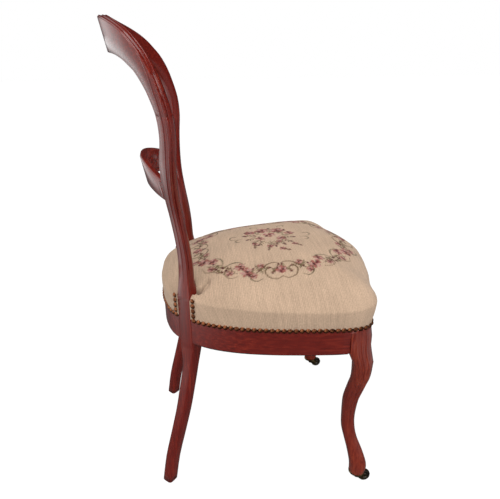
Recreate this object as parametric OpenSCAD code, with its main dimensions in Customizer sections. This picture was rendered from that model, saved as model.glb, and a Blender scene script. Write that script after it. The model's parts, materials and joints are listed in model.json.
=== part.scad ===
// Balloon back dining chair with a sprung, close-nailed seat and castors on its front legs.
// The chair faces -Y and stands on Z = 0. Until place() moves it to the middle of its box,
// Y is counted from the line of the two front wheels at rest.

/* [Back] */
// Height of the crest above the floor
chair_h = 900; // [870:5:940]
// Width over the balloon at its widest
hoop_w = 380; // [350:5:410]
// Width between the middles of the posts at the waist
waist_w = 238; // [220:2:250]
// How far the middle of the crest lies behind the posts at the seat
back_depth = 107; // [95:1:120]
// Lean of the back from upright
lean = 11; // [9:0.5:13]
// Width of the show face of the posts
post_face = 24; // [21:0.5:27]
// Thickness of the posts and the crest
post_t = 18.5; // [16:0.5:21]
// Height of the crest at its middle
crest_w = 57; // [48:1:66]
// Height of the mid rail at its middle
mid_rail_h = 52; // [44:1:58]
// Thickness of the mid rail
mid_rail_t = 15; // [12:0.5:17]

/* [Seat frame] */
// Width over the side rails at the front
seat_w = 434; // [414:2:460]
// Depth over the front and back rails
seat_d = 413; // [395:1:430]
// Height of the rails' lower edge above the floor
rail_under = 335; // [320:1:350]
// Height of the bare wood below the nails
show_h = 50; // [44:1:56]
// Full height of the rails
rail_h = 85; // [78:1:92]
// Thickness of the rails
rail_t = 24; // [21:0.5:27]
// Face of the post where the rails meet it
block_face = 31; // [28:0.5:34]
// Depth of the post where the rails meet it
block_t = 27; // [25:0.5:30]
// Side of the square knee block of a front leg
knee_block = 50; // [46:1:52]
// Diameter of the dowels in the frame
dowel_d = 9; // [7:0.5:10]
// Length of the dowels in the frame
dowel_l = 30; // [24:1:36]
// Height of the corner blocks
corner_block_h = 32; // [26:1:38]

/* [Legs] */
// How far the rear feet stand outside the posts at the seat
foot_out = 19; // [10:1:26]
// How far the rear feet stand behind the posts at the seat
foot_back = 62; // [50:1:75]
// Side of a rear foot
foot_side = 24; // [21:0.5:27]
// Height of the front feet above the floor
front_foot_z = 28.5; // [27:0.5:34]
// Thickness of a front leg at the ankle
ankle_d = 26.5; // [24:0.5:30]
// Thickness of a front leg at the knee
knee_d = 40; // [36:1:44]
// Diameter of a front foot
front_foot_d = 36; // [34:1:40]

/* [Castors] */
// Diameter of the wheels
wheel_d = 26; // [22:1:28]
// Width of the wheels
wheel_w = 12; // [9:0.5:14]
// How far a wheel trails behind its stem
trail = 17; // [16:0.5:20]
// Diameter of the stem
stem_d = 8; // [6:0.5:9]
// Diameter of the axle pin
axle_d = 4.5; // [3.5:0.25:5.5]
// Diameter of the plate under the foot
plate_d = 33; // [31:1:36]
// Thickness of the plate
plate_t = 2.2; // [1.8:0.1:3]

/* [Upholstery] */
// Height of the crown of the seat above the nails
crown_h = 100; // [90:1:110]
// How far the cover swells out over the nails
swell = 11; // [8:0.5:14]
// Thickness of the woven cover
cover_t = 2; // [1.6:0.1:2.4]
// Diameter of a nail's head
nail_d = 9.6; // [8.5:0.1:10]
// Rise of a nail's head
nail_dome = 3; // [2.2:0.1:3.6]
// Distance between nails
nail_pitch = 10.4; // [10.2:0.1:14]
// Diameter of the nails' shanks
shank_d = 1.6; // [1.4:0.1:2]
// Length of the nails' shanks
shank_l = 12; // [9:0.5:14]
// Outer diameter of a coil spring
spring_d = 62; // [54:1:66]
// Diameter of a spring's waist
spring_waist_d = 42; // [36:1:48]
// Thickness of the spring wire
spring_wire = 3.2; // [2.6:0.1:3.8]
// Number of turns of a spring
spring_turns = 5; // [4:1:6]
// Width of the webbing
web_w = 50; // [44:1:54]
// Thickness of the webbing
web_t = 1.2; // [1:0.1:1.6]

/* [Hidden] */
$fn = 48;

// Clearance between faces that meet, and round dowels, nails and screws
fit = 0.3;
bore_fit = 0.2;
// Overrun of every cut
over = 1;

// Heights of the seat
nail_z = rail_under + show_h;
rail_top = rail_under + rail_h;
rebate_z = nail_z - shank_d;
rebate = cover_t + fit;
block_drop = 19;
block_rise = 8;
block_ease = 4;
block_low = rail_under - block_drop;
block_high = rail_top + block_rise;

// Smooth curve through the rows of a list, at u rows from its start
function spline(p, u) = let(
    last = len(p) - 1,
    i = min(floor(u), last - 1),
    f = u - i,
    a = p[max(i - 1, 0)], b = p[i], c = p[i + 1], d = p[min(i + 2, last)])
    0.5 * (2 * b + (c - a) * f + (2 * a - 5 * b + 4 * c - d) * f * f
    + (3 * b - a - 3 * c + d) * f * f * f);
function unit(v) = v / norm(v);
function mix(a, b, f) = a * (1 - f) + b * f;
function clamp(v, low, high) = min(max(v, low), high);

// Closed skin over rings that all have the same number of points. Its triangles lean one way or
// the other, so that two skins that nearly touch can be split alike
module skin(rings, leans_back = false) {
    n = len(rings[0]);
    last = len(rings) - 1;
    sides = [for (i = [0 : last - 1], j = [0 : n - 1])
        let(a = i * n + j, b = i * n + (j + 1) % n)
        each leans_back ? [[a, a + n, b], [b, a + n, b + n]] : [[a, b + n, b], [a, a + n, b + n]]];
    ends = [[for (j = [0 : n - 1]) j], [for (j = [n - 1 : -1 : 0]) last * n + j]];
    polyhedron([for (r = rings) each r], concat(sides, ends), convexity = 8);
}

// Plan of the seat over its rails: half outline from the middle of the back to the middle of
// the front, as shares of half the width and of the depth
plan_shares = [
    [0, 1], [0.286, 0.986], [0.530, 0.936], [0.719, 0.826], [0.839, 0.695], [0.922, 0.533],
    [0.977, 0.339], [1, 0.187], [0.963, 0.099], [0.839, 0.063], [0.599, 0.050], [0.300, 0.015],
    [0, 0]];
seat_front_share = 0.036;
plan_half = [for (s = plan_shares) [-s[0] * seat_w / 2, (s[1] - seat_front_share) * seat_d]];
plan_last = len(plan_half) - 1;
plan_loop = concat([for (i = [0 : plan_last]) plan_half[i]],
    [for (i = [plan_last - 1 : -1 : 0]) [-plan_half[i][0], plan_half[i][1]]]);
plan_n = len(plan_loop) - 1;
plan_end = plan_n / 2;
plan_wrap = concat([plan_loop[plan_n - 1]], plan_loop, [plan_loop[1]]);
function plan_turn(u) = u - plan_n * floor(u / plan_n);
function plan(u) = spline(plan_wrap, plan_turn(u) + 1);
small_share = 0.01;
function outward(u) = let(t = unit(plan(u + small_share) - plan(u - small_share))) [t[1], -t[0]];
function plan_at(u, out) = plan(u) + out * outward(u);
function plan_area(out, steps) = [for (i = [0 : steps - 1]) plan_at(i * plan_n / steps, out)];
plan_steps = 96;
// Edges of the plan, looked up by the other coordinate
function edge_y(x, front) = lookup(x, [for (i = [-40 : 40])
    let(p = plan((front ? plan_end : 0) - i * (front ? -1 : 1) * plan_reach_share))
    [p[0], p[1]]]);
plan_reach_share = 0.09;
side_us = [for (i = [0 : 40]) 4 + i * 0.08];
function edge_x(y) = -lookup(-y, [for (u = side_us) [-plan(u)[1], plan(u)[0]]]);

// Where the back posts stand on the plan
post_u = 2.42;
post_out = outward(post_u);
post_turn = atan2(-post_out[0], post_out[1]);
block_place = plan_at(post_u, -block_t / 2);
block_x = -block_place[0];
block_y = block_place[1];

// Stations of a back post from its foot, and of half the crest up to its middle: side, depth,
// height, turn, face, thickness and kind of section (0 leg, 1 block, 2 moulded)
leg_side = foot_side * 1.1;
crest_over_share = 0.0;
crest_z = chair_h - crest_w / 2 * cos(lean) - post_t * crest_over_share;
hoop_mid = hoop_w / 2 - post_face / 2;
stile_h = crest_z - block_high;
leg_shares = [[0, 1, 1.01], [0.18, 0.83, 0.84], [0.373, 0.64, 0.575], [0.52, 0.48, 0.375],
    [0.636, 0.34, 0.245], [0.818, 0.14, 0.06]];
leg_rows = [for (s = leg_shares) [block_x + s[1] * foot_out, block_y + s[2] * foot_back,
    s[0] * rail_under, post_turn, mix(leg_side, foot_side, s[1]), mix(leg_side, foot_side, s[1]), 0]];
block_rows = [for (z = [block_low, rail_under - block_ease, rail_top, block_high])
    [block_x, block_y, z, post_turn, block_face, block_t, 1]];
// Height above the block, place between waist and widest, depth, turn, face and thickness
stile_shares = [
    [0.065, 0.05, -0.008, 44, 1.04, 1.30], [0.150, 0.02, -0.006, 42, 0.96, 1.08],
    [0.230, 0.00, 0.024, 40, 0.94, 1.00], [0.335, 0.01, 0.088, 39, 0.94, 0.97],
    [0.410, 0.17, 0.130, 39, 1.00, 0.95], [0.490, 0.48, 0.150, 40, 1.10, 0.93],
    [0.575, 0.78, 0.142, 42, 1.12, 0.93], [0.655, 0.95, 0.112, 43, 1.04, 0.93],
    [0.733, 1.00, 0.134, 43, 1.04, 0.95]];
stile_rows = [for (s = stile_shares) [mix(waist_w / 2, hoop_mid, s[1]), block_y + s[2] * back_depth,
    block_high + s[0] * stile_h, s[3], s[4] * post_face, s[5] * post_t, 2]];
// Height, side, depth, turn, then how far the face has grown from the post's to the crest's
crest_shares = [
    [0.807, 0.981, 0.220, 42, 0.06], [0.855, 0.951, 0.301, 40, 0.18], [0.899, 0.899, 0.404, 37, 0.30],
    [0.928, 0.831, 0.508, 34, 0.42], [0.956, 0.736, 0.627, 30, 0.56], [0.980, 0.559, 0.790, 22, 0.70],
    [0.994, 0.310, 0.935, 12, 0.88], [1, 0, 1, 0, 1]];
crest_rows = [for (s = crest_shares) [s[1] * hoop_mid, block_y + s[2] * back_depth,
    block_high + s[0] * stile_h, s[3], mix(post_face, crest_w, s[4]), post_t, 2]];
half_rows = concat(leg_rows, block_rows, stile_rows, crest_rows);
top_row = len(half_rows) - 1;
joint_row = len(leg_rows) + len(block_rows) + len(stile_rows) - 1;
function left_row(r) = [-r[0], r[1], r[2], r[3], r[4], r[5], r[6]];
function right_row(r) = [r[0], r[1], r[2], -r[3], r[4], r[5], r[6]];
hoop_rows = concat([for (r = half_rows) left_row(r)],
    [for (i = [top_row - 1 : -1 : 0]) right_row(half_rows[i])]);

// Half sections of the members, from the rear face round an edge to the front: how far in from
// the edge and how far through, as shares of the thickness
leg_edge_shares = [[0.24, 0.5], [0.09, 0.44], [0.015, 0.32], [0, 0.1], [0, -0.1], [0.02, -0.34],
    [0.10, -0.45], [0.26, -0.5]];
block_edge_shares = [[0.05, 0.5], [0, 0.46], [0, 0.3], [0, 0.15], [0, -0.1], [0, -0.3],
    [0, -0.46], [0.05, -0.5]];
moulded_edge_shares = [[0.05, 0.5], [0, 0.44], [0, 0.30], [0.07, 0.24], [0, 0.16], [0.03, -0.16],
    [0.17, -0.40], [0.40, -0.44]];
front_middle_share = -0.5;
function edge_at(kind) = kind < 1 ? mix(leg_edge_shares, block_edge_shares, kind)
    : mix(block_edge_shares, moulded_edge_shares, kind - 1);
function section(face, t, kind) = let(e = edge_at(clamp(kind, 0, 2)), n = len(e)) concat(
    [for (p = e) [face / 2 - p[0] * t, p[1] * t]],
    [[0, front_middle_share * t]],
    [for (i = [n - 1 : -1 : 0]) [e[i][0] * t - face / 2, e[i][1] * t]]);

// Frame of a member at a station: along it, out from the opening, and through to the rear
function through_at(turn, along) = let(
    v = [-sin(turn), cos(turn), -tan(lean)]) unit(v - (v * along) * along);
up = [0, 0, 1];
function member_ring(u, along, shift = 0) = let(
    s = spline(hoop_rows, u),
    rear = along == up ? [-sin(s[3]), cos(s[3]), 0] : through_at(s[3], along),
    out = cross(along, rear))
    [for (p = section(s[4], s[5], s[6])) [s[0], s[1], s[2]] + out * p[0] + rear * p[1]
        + along * shift];

post_step = 3;
post_rings = [for (i = [0 : joint_row * post_step]) member_ring(i / post_step, up)];

module left_post_body() {
    skin(post_rings);
}

// Crest, turned from the post's level joint to lie square to its own line
crest_step = 4;
crest_n = (top_row - joint_row) * 2 * crest_step;
function crest_along(k) = let(
    u = joint_row + k / crest_step,
    ahead = spline(hoop_rows, u + small_share),
    behind = spline(hoop_rows, u - small_share),
    path = unit([for (c = [0 : 2]) ahead[c] - behind[c]]),
    f = min(1, min(k, crest_n - k) / crest_step),
    start = k < crest_n / 2 ? up : -up)
    f == 0 ? start : unit(mix(start, path, f));
crest_rings = [for (k = [0 : crest_n])
    member_ring(joint_row + k / crest_step, crest_along(k), k == 0 ? fit : k == crest_n ? -fit : 0)];
joint_spot = spline(hoop_rows, joint_row);
crest_dowel_d = 7;
crest_dowel_l = 26;
crest_dowel_gap = 10;

module at_joint() {
    translate([joint_spot[0], joint_spot[1], joint_spot[2]]) rotate([0, 0, joint_spot[3]]) children();
}

module crest_dowel_pair(extra = 0) {
    for (side = [-1, 1]) at_joint()
        translate([side * crest_dowel_gap / 2, 0, -crest_dowel_l / 2 - extra])
            cylinder(d = crest_dowel_d - bore_fit + 2 * extra, h = crest_dowel_l + 2 * extra);
}

// Mid rail: an arched bar between the posts, on the same hollow sweep as the back
mid_height_share = 0.45;
mid_end_z = block_high + stile_h * mid_height_share;
mid_rise = 18;
mid_end_h = 38;
mid_row_share = 0.5;
mid_taper_power = 2.2;
mid_end_fit = 0.35;
mid_u = len(leg_rows) + len(block_rows) + 4 + mid_row_share;
function post_spot(z) = let(u = lookup(z, [for (i = [0 : 40])
    let(u = mid_u + (i - 20) * 0.15) [spline(hoop_rows, u)[2], u]])) spline(hoop_rows, u);
mid_edge = post_spot(mid_end_z);
mid_x = -mid_edge[0] - mid_edge[4] / 2 * cos(mid_edge[3]);
mid_y = mid_edge[1] + mid_edge[4] / 2 * sin(mid_edge[3]);
crest_y = block_y + back_depth;
mid_bow = crest_y - (crest_z - mid_end_z - mid_rise) * tan(lean) - mid_y - mid_rise * tan(lean);
mid_r = (mid_x * mid_x + mid_bow * mid_bow) / (2 * mid_bow);
mid_sweep = asin(mid_x / mid_r);
mid_section_shares = [[0.36, 0.5], [0.1, 0.5], [-0.2, 0.47], [-0.42, 0.4], [-0.5, 0.24],
    [-0.5, -0.24], [-0.42, -0.4], [-0.2, -0.47], [0.1, -0.5], [0.36, -0.5], [0.5, -0.42], [0.5, 0.42]];
mid_n = 30;
function mid_general(f, p) = let(
    a = (2 * f - 1) * mid_sweep,
    rise = mid_rise * (1 - pow(abs(2 * f - 1), 2.2)),
    z = rise + p[1] * mix(mid_rail_h, mid_end_h, pow(abs(2 * f - 1), mid_taper_power)),
    r = mid_r + p[0] * mid_rail_t)
    [r * sin(a), mid_y + mid_bow - mid_r + r * cos(a) + z * tan(lean), mid_end_z + z];
function mid_end(p, side) = let(
    z = mid_end_z + p[1] * mid_end_h,
    s = post_spot(z),
    half = s[4] / 2 + mid_end_fit,
    x = s[0] + half * cos(s[3]) - p[0] * mid_rail_t * sin(s[3]),
    y = s[1] + half * sin(s[3]) + p[0] * mid_rail_t * cos(s[3]))
    [-side * x, y, z];
function mid_ring(f) = let(pull = pow(abs(2 * f - 1), 12), side = f < 0.5 ? -1 : 1)
    [for (p = mid_section_shares) mix(mid_general(f, p), mid_end(p, side), pull)];
mid_dowel_d = 7;
mid_dowel_l = 22;
mid_dowel_gap = 16;

module mid_dowel_pair(extra = 0) {
    for (dz = [-1, 1]) translate([-mid_x, mid_y, mid_end_z + dz * mid_dowel_gap / 2])
        rotate([0, 0, post_spot(mid_end_z)[3]]) rotate([0, 90, 0])
            translate([0, 0, -mid_dowel_l / 2 - extra])
                cylinder(d = mid_dowel_d - bore_fit + 2 * extra, h = mid_dowel_l + 2 * extra);
}

// Front legs: height, place out from the knee block, thickness, squareness, how far the outer
// corner is rounded off, as shares of the leg's own sizes
leg_h = rail_under - front_foot_z;
knee_inset = 2.4;
knee_x = seat_w / 2 - knee_block / 2;
knee_y = plan(7)[1] - knee_block / 2 - knee_inset;
castor_x = 200;
castor_y = trail;
ankle_in = 21;
ankle_back = 21.5;
// Rows of height, place out and place forward between ankle and castor, thickness at the foot or
// from ankle to knee, squareness, and how far the outer corner is rounded off
front_leg_shares = [
    [0.000, 1.05, 1.00, 0.82, 0, 1.03, 0.00], [0.025, 1.05, 1.01, 0.91, 0, 1.04, 0.00],
    [0.060, 1.05, 1.02, 0.94, 0, 1.05, 0.00], [0.106, 0.98, 0.91, 0.91, 0, 1.07, 0.00],
    [0.184, 0.67, 0.63, 0.82, 0, 1.10, 0.00], [0.269, 0.38, 0.25, 0.72, 0, 1.12, 0.05],
    [0.347, 0.14, 0.03, 0.73, 0, 1.14, 0.08], [0.442, 0.00, 0.00, 0, 0.00, 1.15, 0.10],
    [0.566, 0.07, 0.09, 0, 0.33, 1.16, 0.14], [0.632, 0.17, 0.28, 0, 0.53, 1.18, 0.17],
    [0.706, 0.45, 0.44, 0, 0.67, 1.20, 0.20], [0.781, 0.70, 0.60, 0, 0.83, 1.20, 0.22],
    [0.892, 0.86, 0.58, 0, 1.00, 1.20, 0.22]];
ankle_spot = [castor_x - ankle_in, castor_y + ankle_back];
function front_leg_thick(s) = s[3] > 0 ? front_foot_d * s[3] : mix(ankle_d, knee_d, s[4]);
front_leg_spots = [for (s = front_leg_shares)
    [-mix(ankle_spot[0], castor_x, s[1]), mix(ankle_spot[1], castor_y, s[2]),
        front_foot_z + s[0] * leg_h, front_leg_thick(s), s[5], s[6]]];
leg_sides = 24;
leg_step = 3;
function leg_ring(s) = [for (j = [0 : leg_sides - 1]) let(
    a = j * 360 / leg_sides,
    half = s[3] / 2,
    r = half * s[4] * (1 - s[5] * pow(cos(a - 45), 2)))
    [s[0] + clamp(r * cos(a), -half, half), s[1] + clamp(r * sin(a), -half, half), s[2]]];
// The knee block is square inside and follows the plan of the seat outside
knee_us = [for (i = [0 : 60]) 6.4 + i * 0.08];
function knee_reach(a, inset) = lookup(a, [for (u = knee_us) let(
    p = plan_at(u, -inset) - [-knee_x, knee_y],
    b = atan2(p[1], p[0]))
    [b < 0 ? b + 360 : b, norm(p)]]);
knee_crown = 0.15;
// The two outer faces of the block swell out by a knee's fullness below the nails
function block_ring(z, inset, full = 0) = [for (j = [0 : leg_sides - 1]) let(
    a = j * 360 / leg_sides,
    side = knee_block / 2 / max(abs(cos(a)), abs(sin(a))) - knee_crown * abs(sin(2 * a)),
    r = a > 130 && a < 320 ? min(side, knee_reach(a, inset)) : side)
    [-knee_x + r * cos(a) - (cos(a) < -0.6 ? full : 0), knee_y + r * sin(a) - (sin(a) < -0.6 ? full : 0),
        z]];
knee_full = 3.4;
knee_full_rise = 20;
knee_plain_rise = 41;
front_leg_n = (len(front_leg_spots) - 1) * leg_step;
front_leg_rings = concat(
    [for (i = [0 : front_leg_n]) leg_ring(spline(front_leg_spots, i / leg_step))],
    [for (f = [0.35, 0.72]) [for (j = [0 : leg_sides - 1])
        mix(leg_ring(front_leg_spots[len(front_leg_spots) - 1])[j],
            block_ring(rail_under, 0, knee_full)[j], f)]],
    [block_ring(rail_under, 0, knee_full), block_ring(rail_under + knee_full_rise, 0, knee_full),
        block_ring(rail_under + knee_plain_rise, 0), block_ring(rail_top, 0)]);

// Regions kept clear of the rails: round the post's block and round the knee block
far = seat_d;
module post_room(gap) {
    translate([-block_x, block_y]) rotate(post_turn)
        translate([-block_face / 2 - gap, -block_t * 1.5])
            square([block_face + 2 * gap, block_t * 3]);
}
module knee_room(gap) {
    reach = far + knee_block / 2 + gap;
    translate([-far, -far]) square([reach - knee_x, reach + knee_y]);
}

// Part of the band between two insets of the plan, from one place along it to another
module band(from, to, outer, inner) {
    steps = ceil(abs(to - from) * 4);
    us = [for (i = [0 : steps]) mix(from, to, i / steps)];
    polygon(concat([for (u = us) plan_at(u, outer)],
        [for (i = [steps : -1 : 0]) plan_at(us[i], inner)]));
}

// The cover has this many sides, and what stands inside it keeps clear of its flats
cover_sides = 44;
module inside_cover() {
    polygon(plan_area(-rebate, cover_sides));
}
module outside_cover() {
    translate([0, 0, rebate_z]) linear_extrude(rail_top - rebate_z + over) difference() {
        translate([-far, -far]) square([2 * far, 3 * far]);
        inside_cover();
    }
}

module rail_blank(from, to) {
    translate([0, 0, rail_under]) linear_extrude(rebate_z - rail_under) difference() {
        band(from, to, 0, -rail_t);
        rail_ends();
    }
    translate([0, 0, rebate_z]) linear_extrude(rail_top - rebate_z) difference() {
        intersection() {
            band(from, to, -rebate / 2, -rail_t);
            inside_cover();
        }
        rail_ends();
    }
}

module rail_ends() {
    for (m = [0, 1]) mirror([m, 0]) {
        post_room(fit);
        knee_room(fit);
    }
}

// Dowels between the rails and what they meet, in pairs one above the other
dowel_z_shares = [0.20, 0.55];
back_dowel_z_shares = [0.36, 0.72];
dowel_inset = rail_t / 2;
post_dowel_depth = 12;
module dowel_in(z, extra) {
    translate([0, 0, z]) rotate([0, 90, 0]) translate([0, 0, -post_dowel_depth - extra])
        cylinder(d = dowel_d - bore_fit + 2 * extra, h = dowel_l + 2 * extra);
}
module post_dowels(extra = 0) {
    translate([-block_x, block_y, rail_under]) rotate([0, 0, post_turn]) {
        for (s = back_dowel_z_shares) translate([block_face / 2, block_t / 2 - dowel_inset, 0])
            dowel_in(s * show_h, extra);
        for (s = dowel_z_shares) translate([-block_face / 2, block_t / 2 - dowel_inset, 0])
            mirror([1, 0, 0]) dowel_in(s * show_h, extra);
    }
}
module knee_dowels(extra = 0) {
    for (s = dowel_z_shares) translate([-seat_w / 2 + dowel_inset, knee_y + knee_block / 2, rail_under])
        rotate([0, 0, 90]) dowel_in(s * show_h, extra);
    inner_x = knee_block / 2 - knee_x;
    for (s = back_dowel_z_shares)
        translate([inner_x, edge_y(inner_x, true) + dowel_inset, rail_under])
            dowel_in(s * show_h, extra);
}

// Domed nails: each has a place along the plan and a height
nail_head_r = (nail_d * nail_d / 4 + nail_dome * nail_dome) / (2 * nail_dome);
module nail() {
    rotate_extrude() intersection() {
        translate([0, nail_dome - nail_head_r]) circle(nail_head_r);
        square([nail_d, nail_dome]);
    }
    translate([0, 0, -shank_l]) cylinder(d = shank_d, h = shank_l + nail_dome / 2);
}
module nail_bore() {
    translate([0, 0, -shank_l - over]) cylinder(d = shank_d + bore_fit, h = shank_l + 2 * over);
}
// Turns +Z to face outward at a place along the plan
module facing(u, z, out = 0) {
    p = plan_at(u, out);
    n = outward(u);
    translate([p[0], p[1], z]) rotate([0, 0, atan2(n[1], n[0])]) rotate([0, 90, 0]) children();
}
// Places along the plan, one nail pitch apart
function travel(from, to) = let(steps = 60)
    [for (i = 0, d = 0; i <= steps; d = d + norm(plan(mix(from, to, (i + 1) / steps))
        - plan(mix(from, to, i / steps))), i = i + 1) [d, mix(from, to, i / steps)]];
function spaced(from, to, pitch) = let(
    t = travel(from, to),
    length = t[len(t) - 1][0],
    count = floor(length / pitch))
    [for (i = [0 : count - 1]) lookup((i + 0.5) * length / count, t)];
nail_margin = 1;
post_gap = (block_face / 2 + nail_margin) / norm(plan(3) - plan(2));
post_rear_u = post_u - post_gap;
post_front_u = post_u + post_gap;
corner_u = 9.2;
side_nail_us = spaced(post_front_u, corner_u, nail_pitch);
back_nail_us = spaced(-post_rear_u, post_rear_u, nail_pitch);
front_nail_us = spaced(corner_u, plan_n - corner_u, nail_pitch);
upright_nails = 3;
upright_out = 1.3;
module side_upright_places() {
    for (k = [1 : upright_nails]) facing(side_nail_us[0], nail_z + k * nail_pitch, upright_out) children();
}
module back_upright_places() {
    for (u = [back_nail_us[0], back_nail_us[len(back_nail_us) - 1]], k = [1 : upright_nails])
        facing(u, nail_z + k * nail_pitch, upright_out) children();
}
module side_nail_places() {
    for (u = side_nail_us) facing(u, nail_z, fit) children();
    side_upright_places() children();
}
module back_nail_places() {
    for (u = back_nail_us) facing(u, nail_z, fit) children();
    back_upright_places() children();
}
module front_nail_places() {
    for (u = front_nail_us) facing(u, nail_z, fit) children();
}

// Castor parts, with the stem on the Z axis and the wheel towards -Y
wheel_z = wheel_d / 2;
crown_dip = 2;
crown_low = wheel_d - crown_dip;
crown_top = front_foot_z - plate_t - fit;
crown_d = plate_d * 0.5;
cheek_t = 2.4;
cheek_gap = 0.6;
horn_w = wheel_w + 2 * (cheek_gap + cheek_t);
rivet_lip = 1.5;
eye_wall = 1;
rivet_d = axle_d + 2 * rivet_lip;
rivet_t = 1.4;
stem_h = 34;
sleeve_t = 1.6;
sleeve_h = 24;
screw_d = 3;
screw_head_d = 5.6;
screw_l = 14;
screw_ring_share = 0.74;
screw_places = [for (a = [30, 150, 270]) a];
castor_fit = 0.25;
run_fit = 0.08;

module castor_plate() {
    color("#6b5a3c") difference() {
        union() {
            translate([0, 0, front_foot_z - plate_t]) cylinder(d = plate_d, h = plate_t - castor_fit);
            translate([0, 0, front_foot_z - plate_t])
                cylinder(d = stem_d + 2 * (run_fit + sleeve_t), h = plate_t + sleeve_h);
        }
        translate([0, 0, front_foot_z - plate_t - over])
            cylinder(d = stem_d + 2 * run_fit, h = plate_t + sleeve_h + 2 * over);
        for (a = screw_places) rotate([0, 0, a]) translate([plate_d / 2 * screw_ring_share, 0, 0])
            screw_sink();
    }
}
module screw_sink() {
    translate([0, 0, front_foot_z - plate_t - over]) {
        cylinder(d = screw_d + bore_fit, h = plate_t + 2 * over);
        cylinder(d = screw_head_d + bore_fit, h = plate_t / 2 + over);
    }
}
module castor_screws() {
    color("#8a7a52") for (a = screw_places) rotate([0, 0, a])
        translate([plate_d / 2 * screw_ring_share, 0, front_foot_z - plate_t]) {
            cylinder(d = screw_head_d - bore_fit, h = plate_t / 2 - castor_fit / 2);
            cylinder(d = screw_d - bore_fit, h = screw_l);
        }
}
module castor_screw_bores() {
    for (a = screw_places) rotate([0, 0, a])
        translate([plate_d / 2 * screw_ring_share, 0, front_foot_z - over])
            cylinder(d = screw_d + bore_fit, h = screw_l + over);
}
module castor_stem() {
    color("#5c5650") {
        translate([0, 0, crown_low]) cylinder(d = stem_d, h = stem_h);
    }
}
module castor_horn() {
    back_y = trail - wheel_d / 2 - fit * 4;
    color("#6b5a3c") difference() {
        union() {
            translate([0, 0, crown_low]) cylinder(d = crown_d, h = crown_top - crown_low);
            translate([-horn_w / 2, -back_y, wheel_z + wheel_d / 5])
                cube([horn_w, back_y + crown_d / 3, crown_top - wheel_z - wheel_d / 5 - castor_fit]);
            for (side = [-1, 1]) translate([side * (horn_w - cheek_t) / 2 - cheek_t / 2, 0, 0])
                horn_cheek();
        }
        translate([0, 0, wheel_z]) cylinder(d = stem_d + bore_fit, h = crown_top);
        translate([0, -trail, wheel_z]) rotate([0, 90, 0])
            cylinder(d = axle_d + bore_fit, h = horn_w + 2 * over, center = true);
    }
}
module horn_cheek() {
    eye = rivet_d / 2 + eye_wall;
    rotate([90, 0, 90]) linear_extrude(cheek_t) union() {
        translate([-trail, wheel_z]) circle(eye);
        polygon([[-trail - eye * 0.5, wheel_z + eye * 0.86], [-trail + eye * 0.4, wheel_z - eye * 0.9],
            [crown_d / 3, wheel_z + wheel_d / 5], [crown_d / 3, crown_top - castor_fit],
            [-crown_d / 3, crown_top - castor_fit]]);
    }
}
module castor_wheel() {
    bevel = wheel_w / 6;
    hub = wheel_d * 0.22;
    color("#3d3a36") translate([0, -trail, wheel_z]) rotate([0, 90, 0]) rotate_extrude() polygon([
        [axle_d / 2 + run_fit, -wheel_w / 2], [hub, -wheel_w / 2],
        [hub + bevel / 2, bevel - wheel_w / 2],
        [wheel_z - bevel * 1.6, bevel - wheel_w / 2], [wheel_z - bevel, -wheel_w / 2 + bevel / 3],
        [wheel_z, -bevel], [wheel_z, bevel],
        [wheel_z - bevel, wheel_w / 2 - bevel / 3], [wheel_z - bevel * 1.6, wheel_w / 2 - bevel],
        [hub + bevel / 2, wheel_w / 2 - bevel], [hub, wheel_w / 2],
        [axle_d / 2 + run_fit, wheel_w / 2]]);
}
module castor_axle() {
    color("#8a7a52") translate([0, -trail, wheel_z]) rotate([0, 90, 0]) {
        cylinder(d = axle_d, h = horn_w + 2 * rivet_t, center = true);
        for (side = [-1, 1]) translate([0, 0, side * (horn_w / 2 + rivet_t / 2 + castor_fit / 2)])
            cylinder(d = rivet_d, h = rivet_t - castor_fit, center = true);
    }
}
module at_castor(side) {
    place() translate([side * castor_x, castor_y, 0]) children();
}

// Leg's room for the castor's sleeve and stem
module castor_bores() {
    translate([-castor_x, castor_y, 0]) {
        translate([0, 0, front_foot_z - over])
            cylinder(d = stem_d + 2 * (run_fit + sleeve_t) + bore_fit, h = sleeve_h + over + castor_fit);
        translate([0, 0, front_foot_z]) cylinder(d = stem_d + 2 * castor_fit, h = stem_h);
        castor_screw_bores();
    }
}

// Layers between the rails' top and the crown
twine_d = 1.6;
twine_z = rail_top + fit + twine_d / 2;
twine_top = twine_z + 1.5 * twine_d + fit;
hessian_t = 1.2;
hessian_z = twine_top + fit;
pad_z = hessian_z + hessian_t + fit;
pad_inset = cover_t + fit;

// Seat cover and stuffing: rings from the nails up over the crown. The swell dies away at the
// posts, where the cover is pulled in
function pull_in(u) = let(
    d = min(norm(plan(u) - plan(post_u)), norm(plan(u) - plan(plan_n - post_u))))
    1 - exp(-pow(d / (block_face * 1.45), 4));
crown_share = 0.488;
crown_point = [0, seat_d * crown_share];
// How round the top is and how far the sides swell, from the middle of the back to the middle of
// the front along half the plan, and how the rise is shared
round_shares = [[0, 1.12], [2, 1.05], [4, 0.92], [6, 0.83], [7.7, 0.76], [9.5, 0.56], [12, 0.22]];
swell_shares = [[0, 0.05], [4, 0.25], [6.5, 1.05], [7.7, 0.30], [12, 1.25]];
rise_power = 1.61;
swell_h_share = 0.9;
cover_z = nail_z + shank_d;
free_z = nail_z + nail_d / 2 + fit;
crown_z = nail_z + crown_h;
swell_h = (crown_z - free_z) * swell_h_share;
function by_half(u, shares) = lookup(min(u, plan_n - u), shares);
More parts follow.
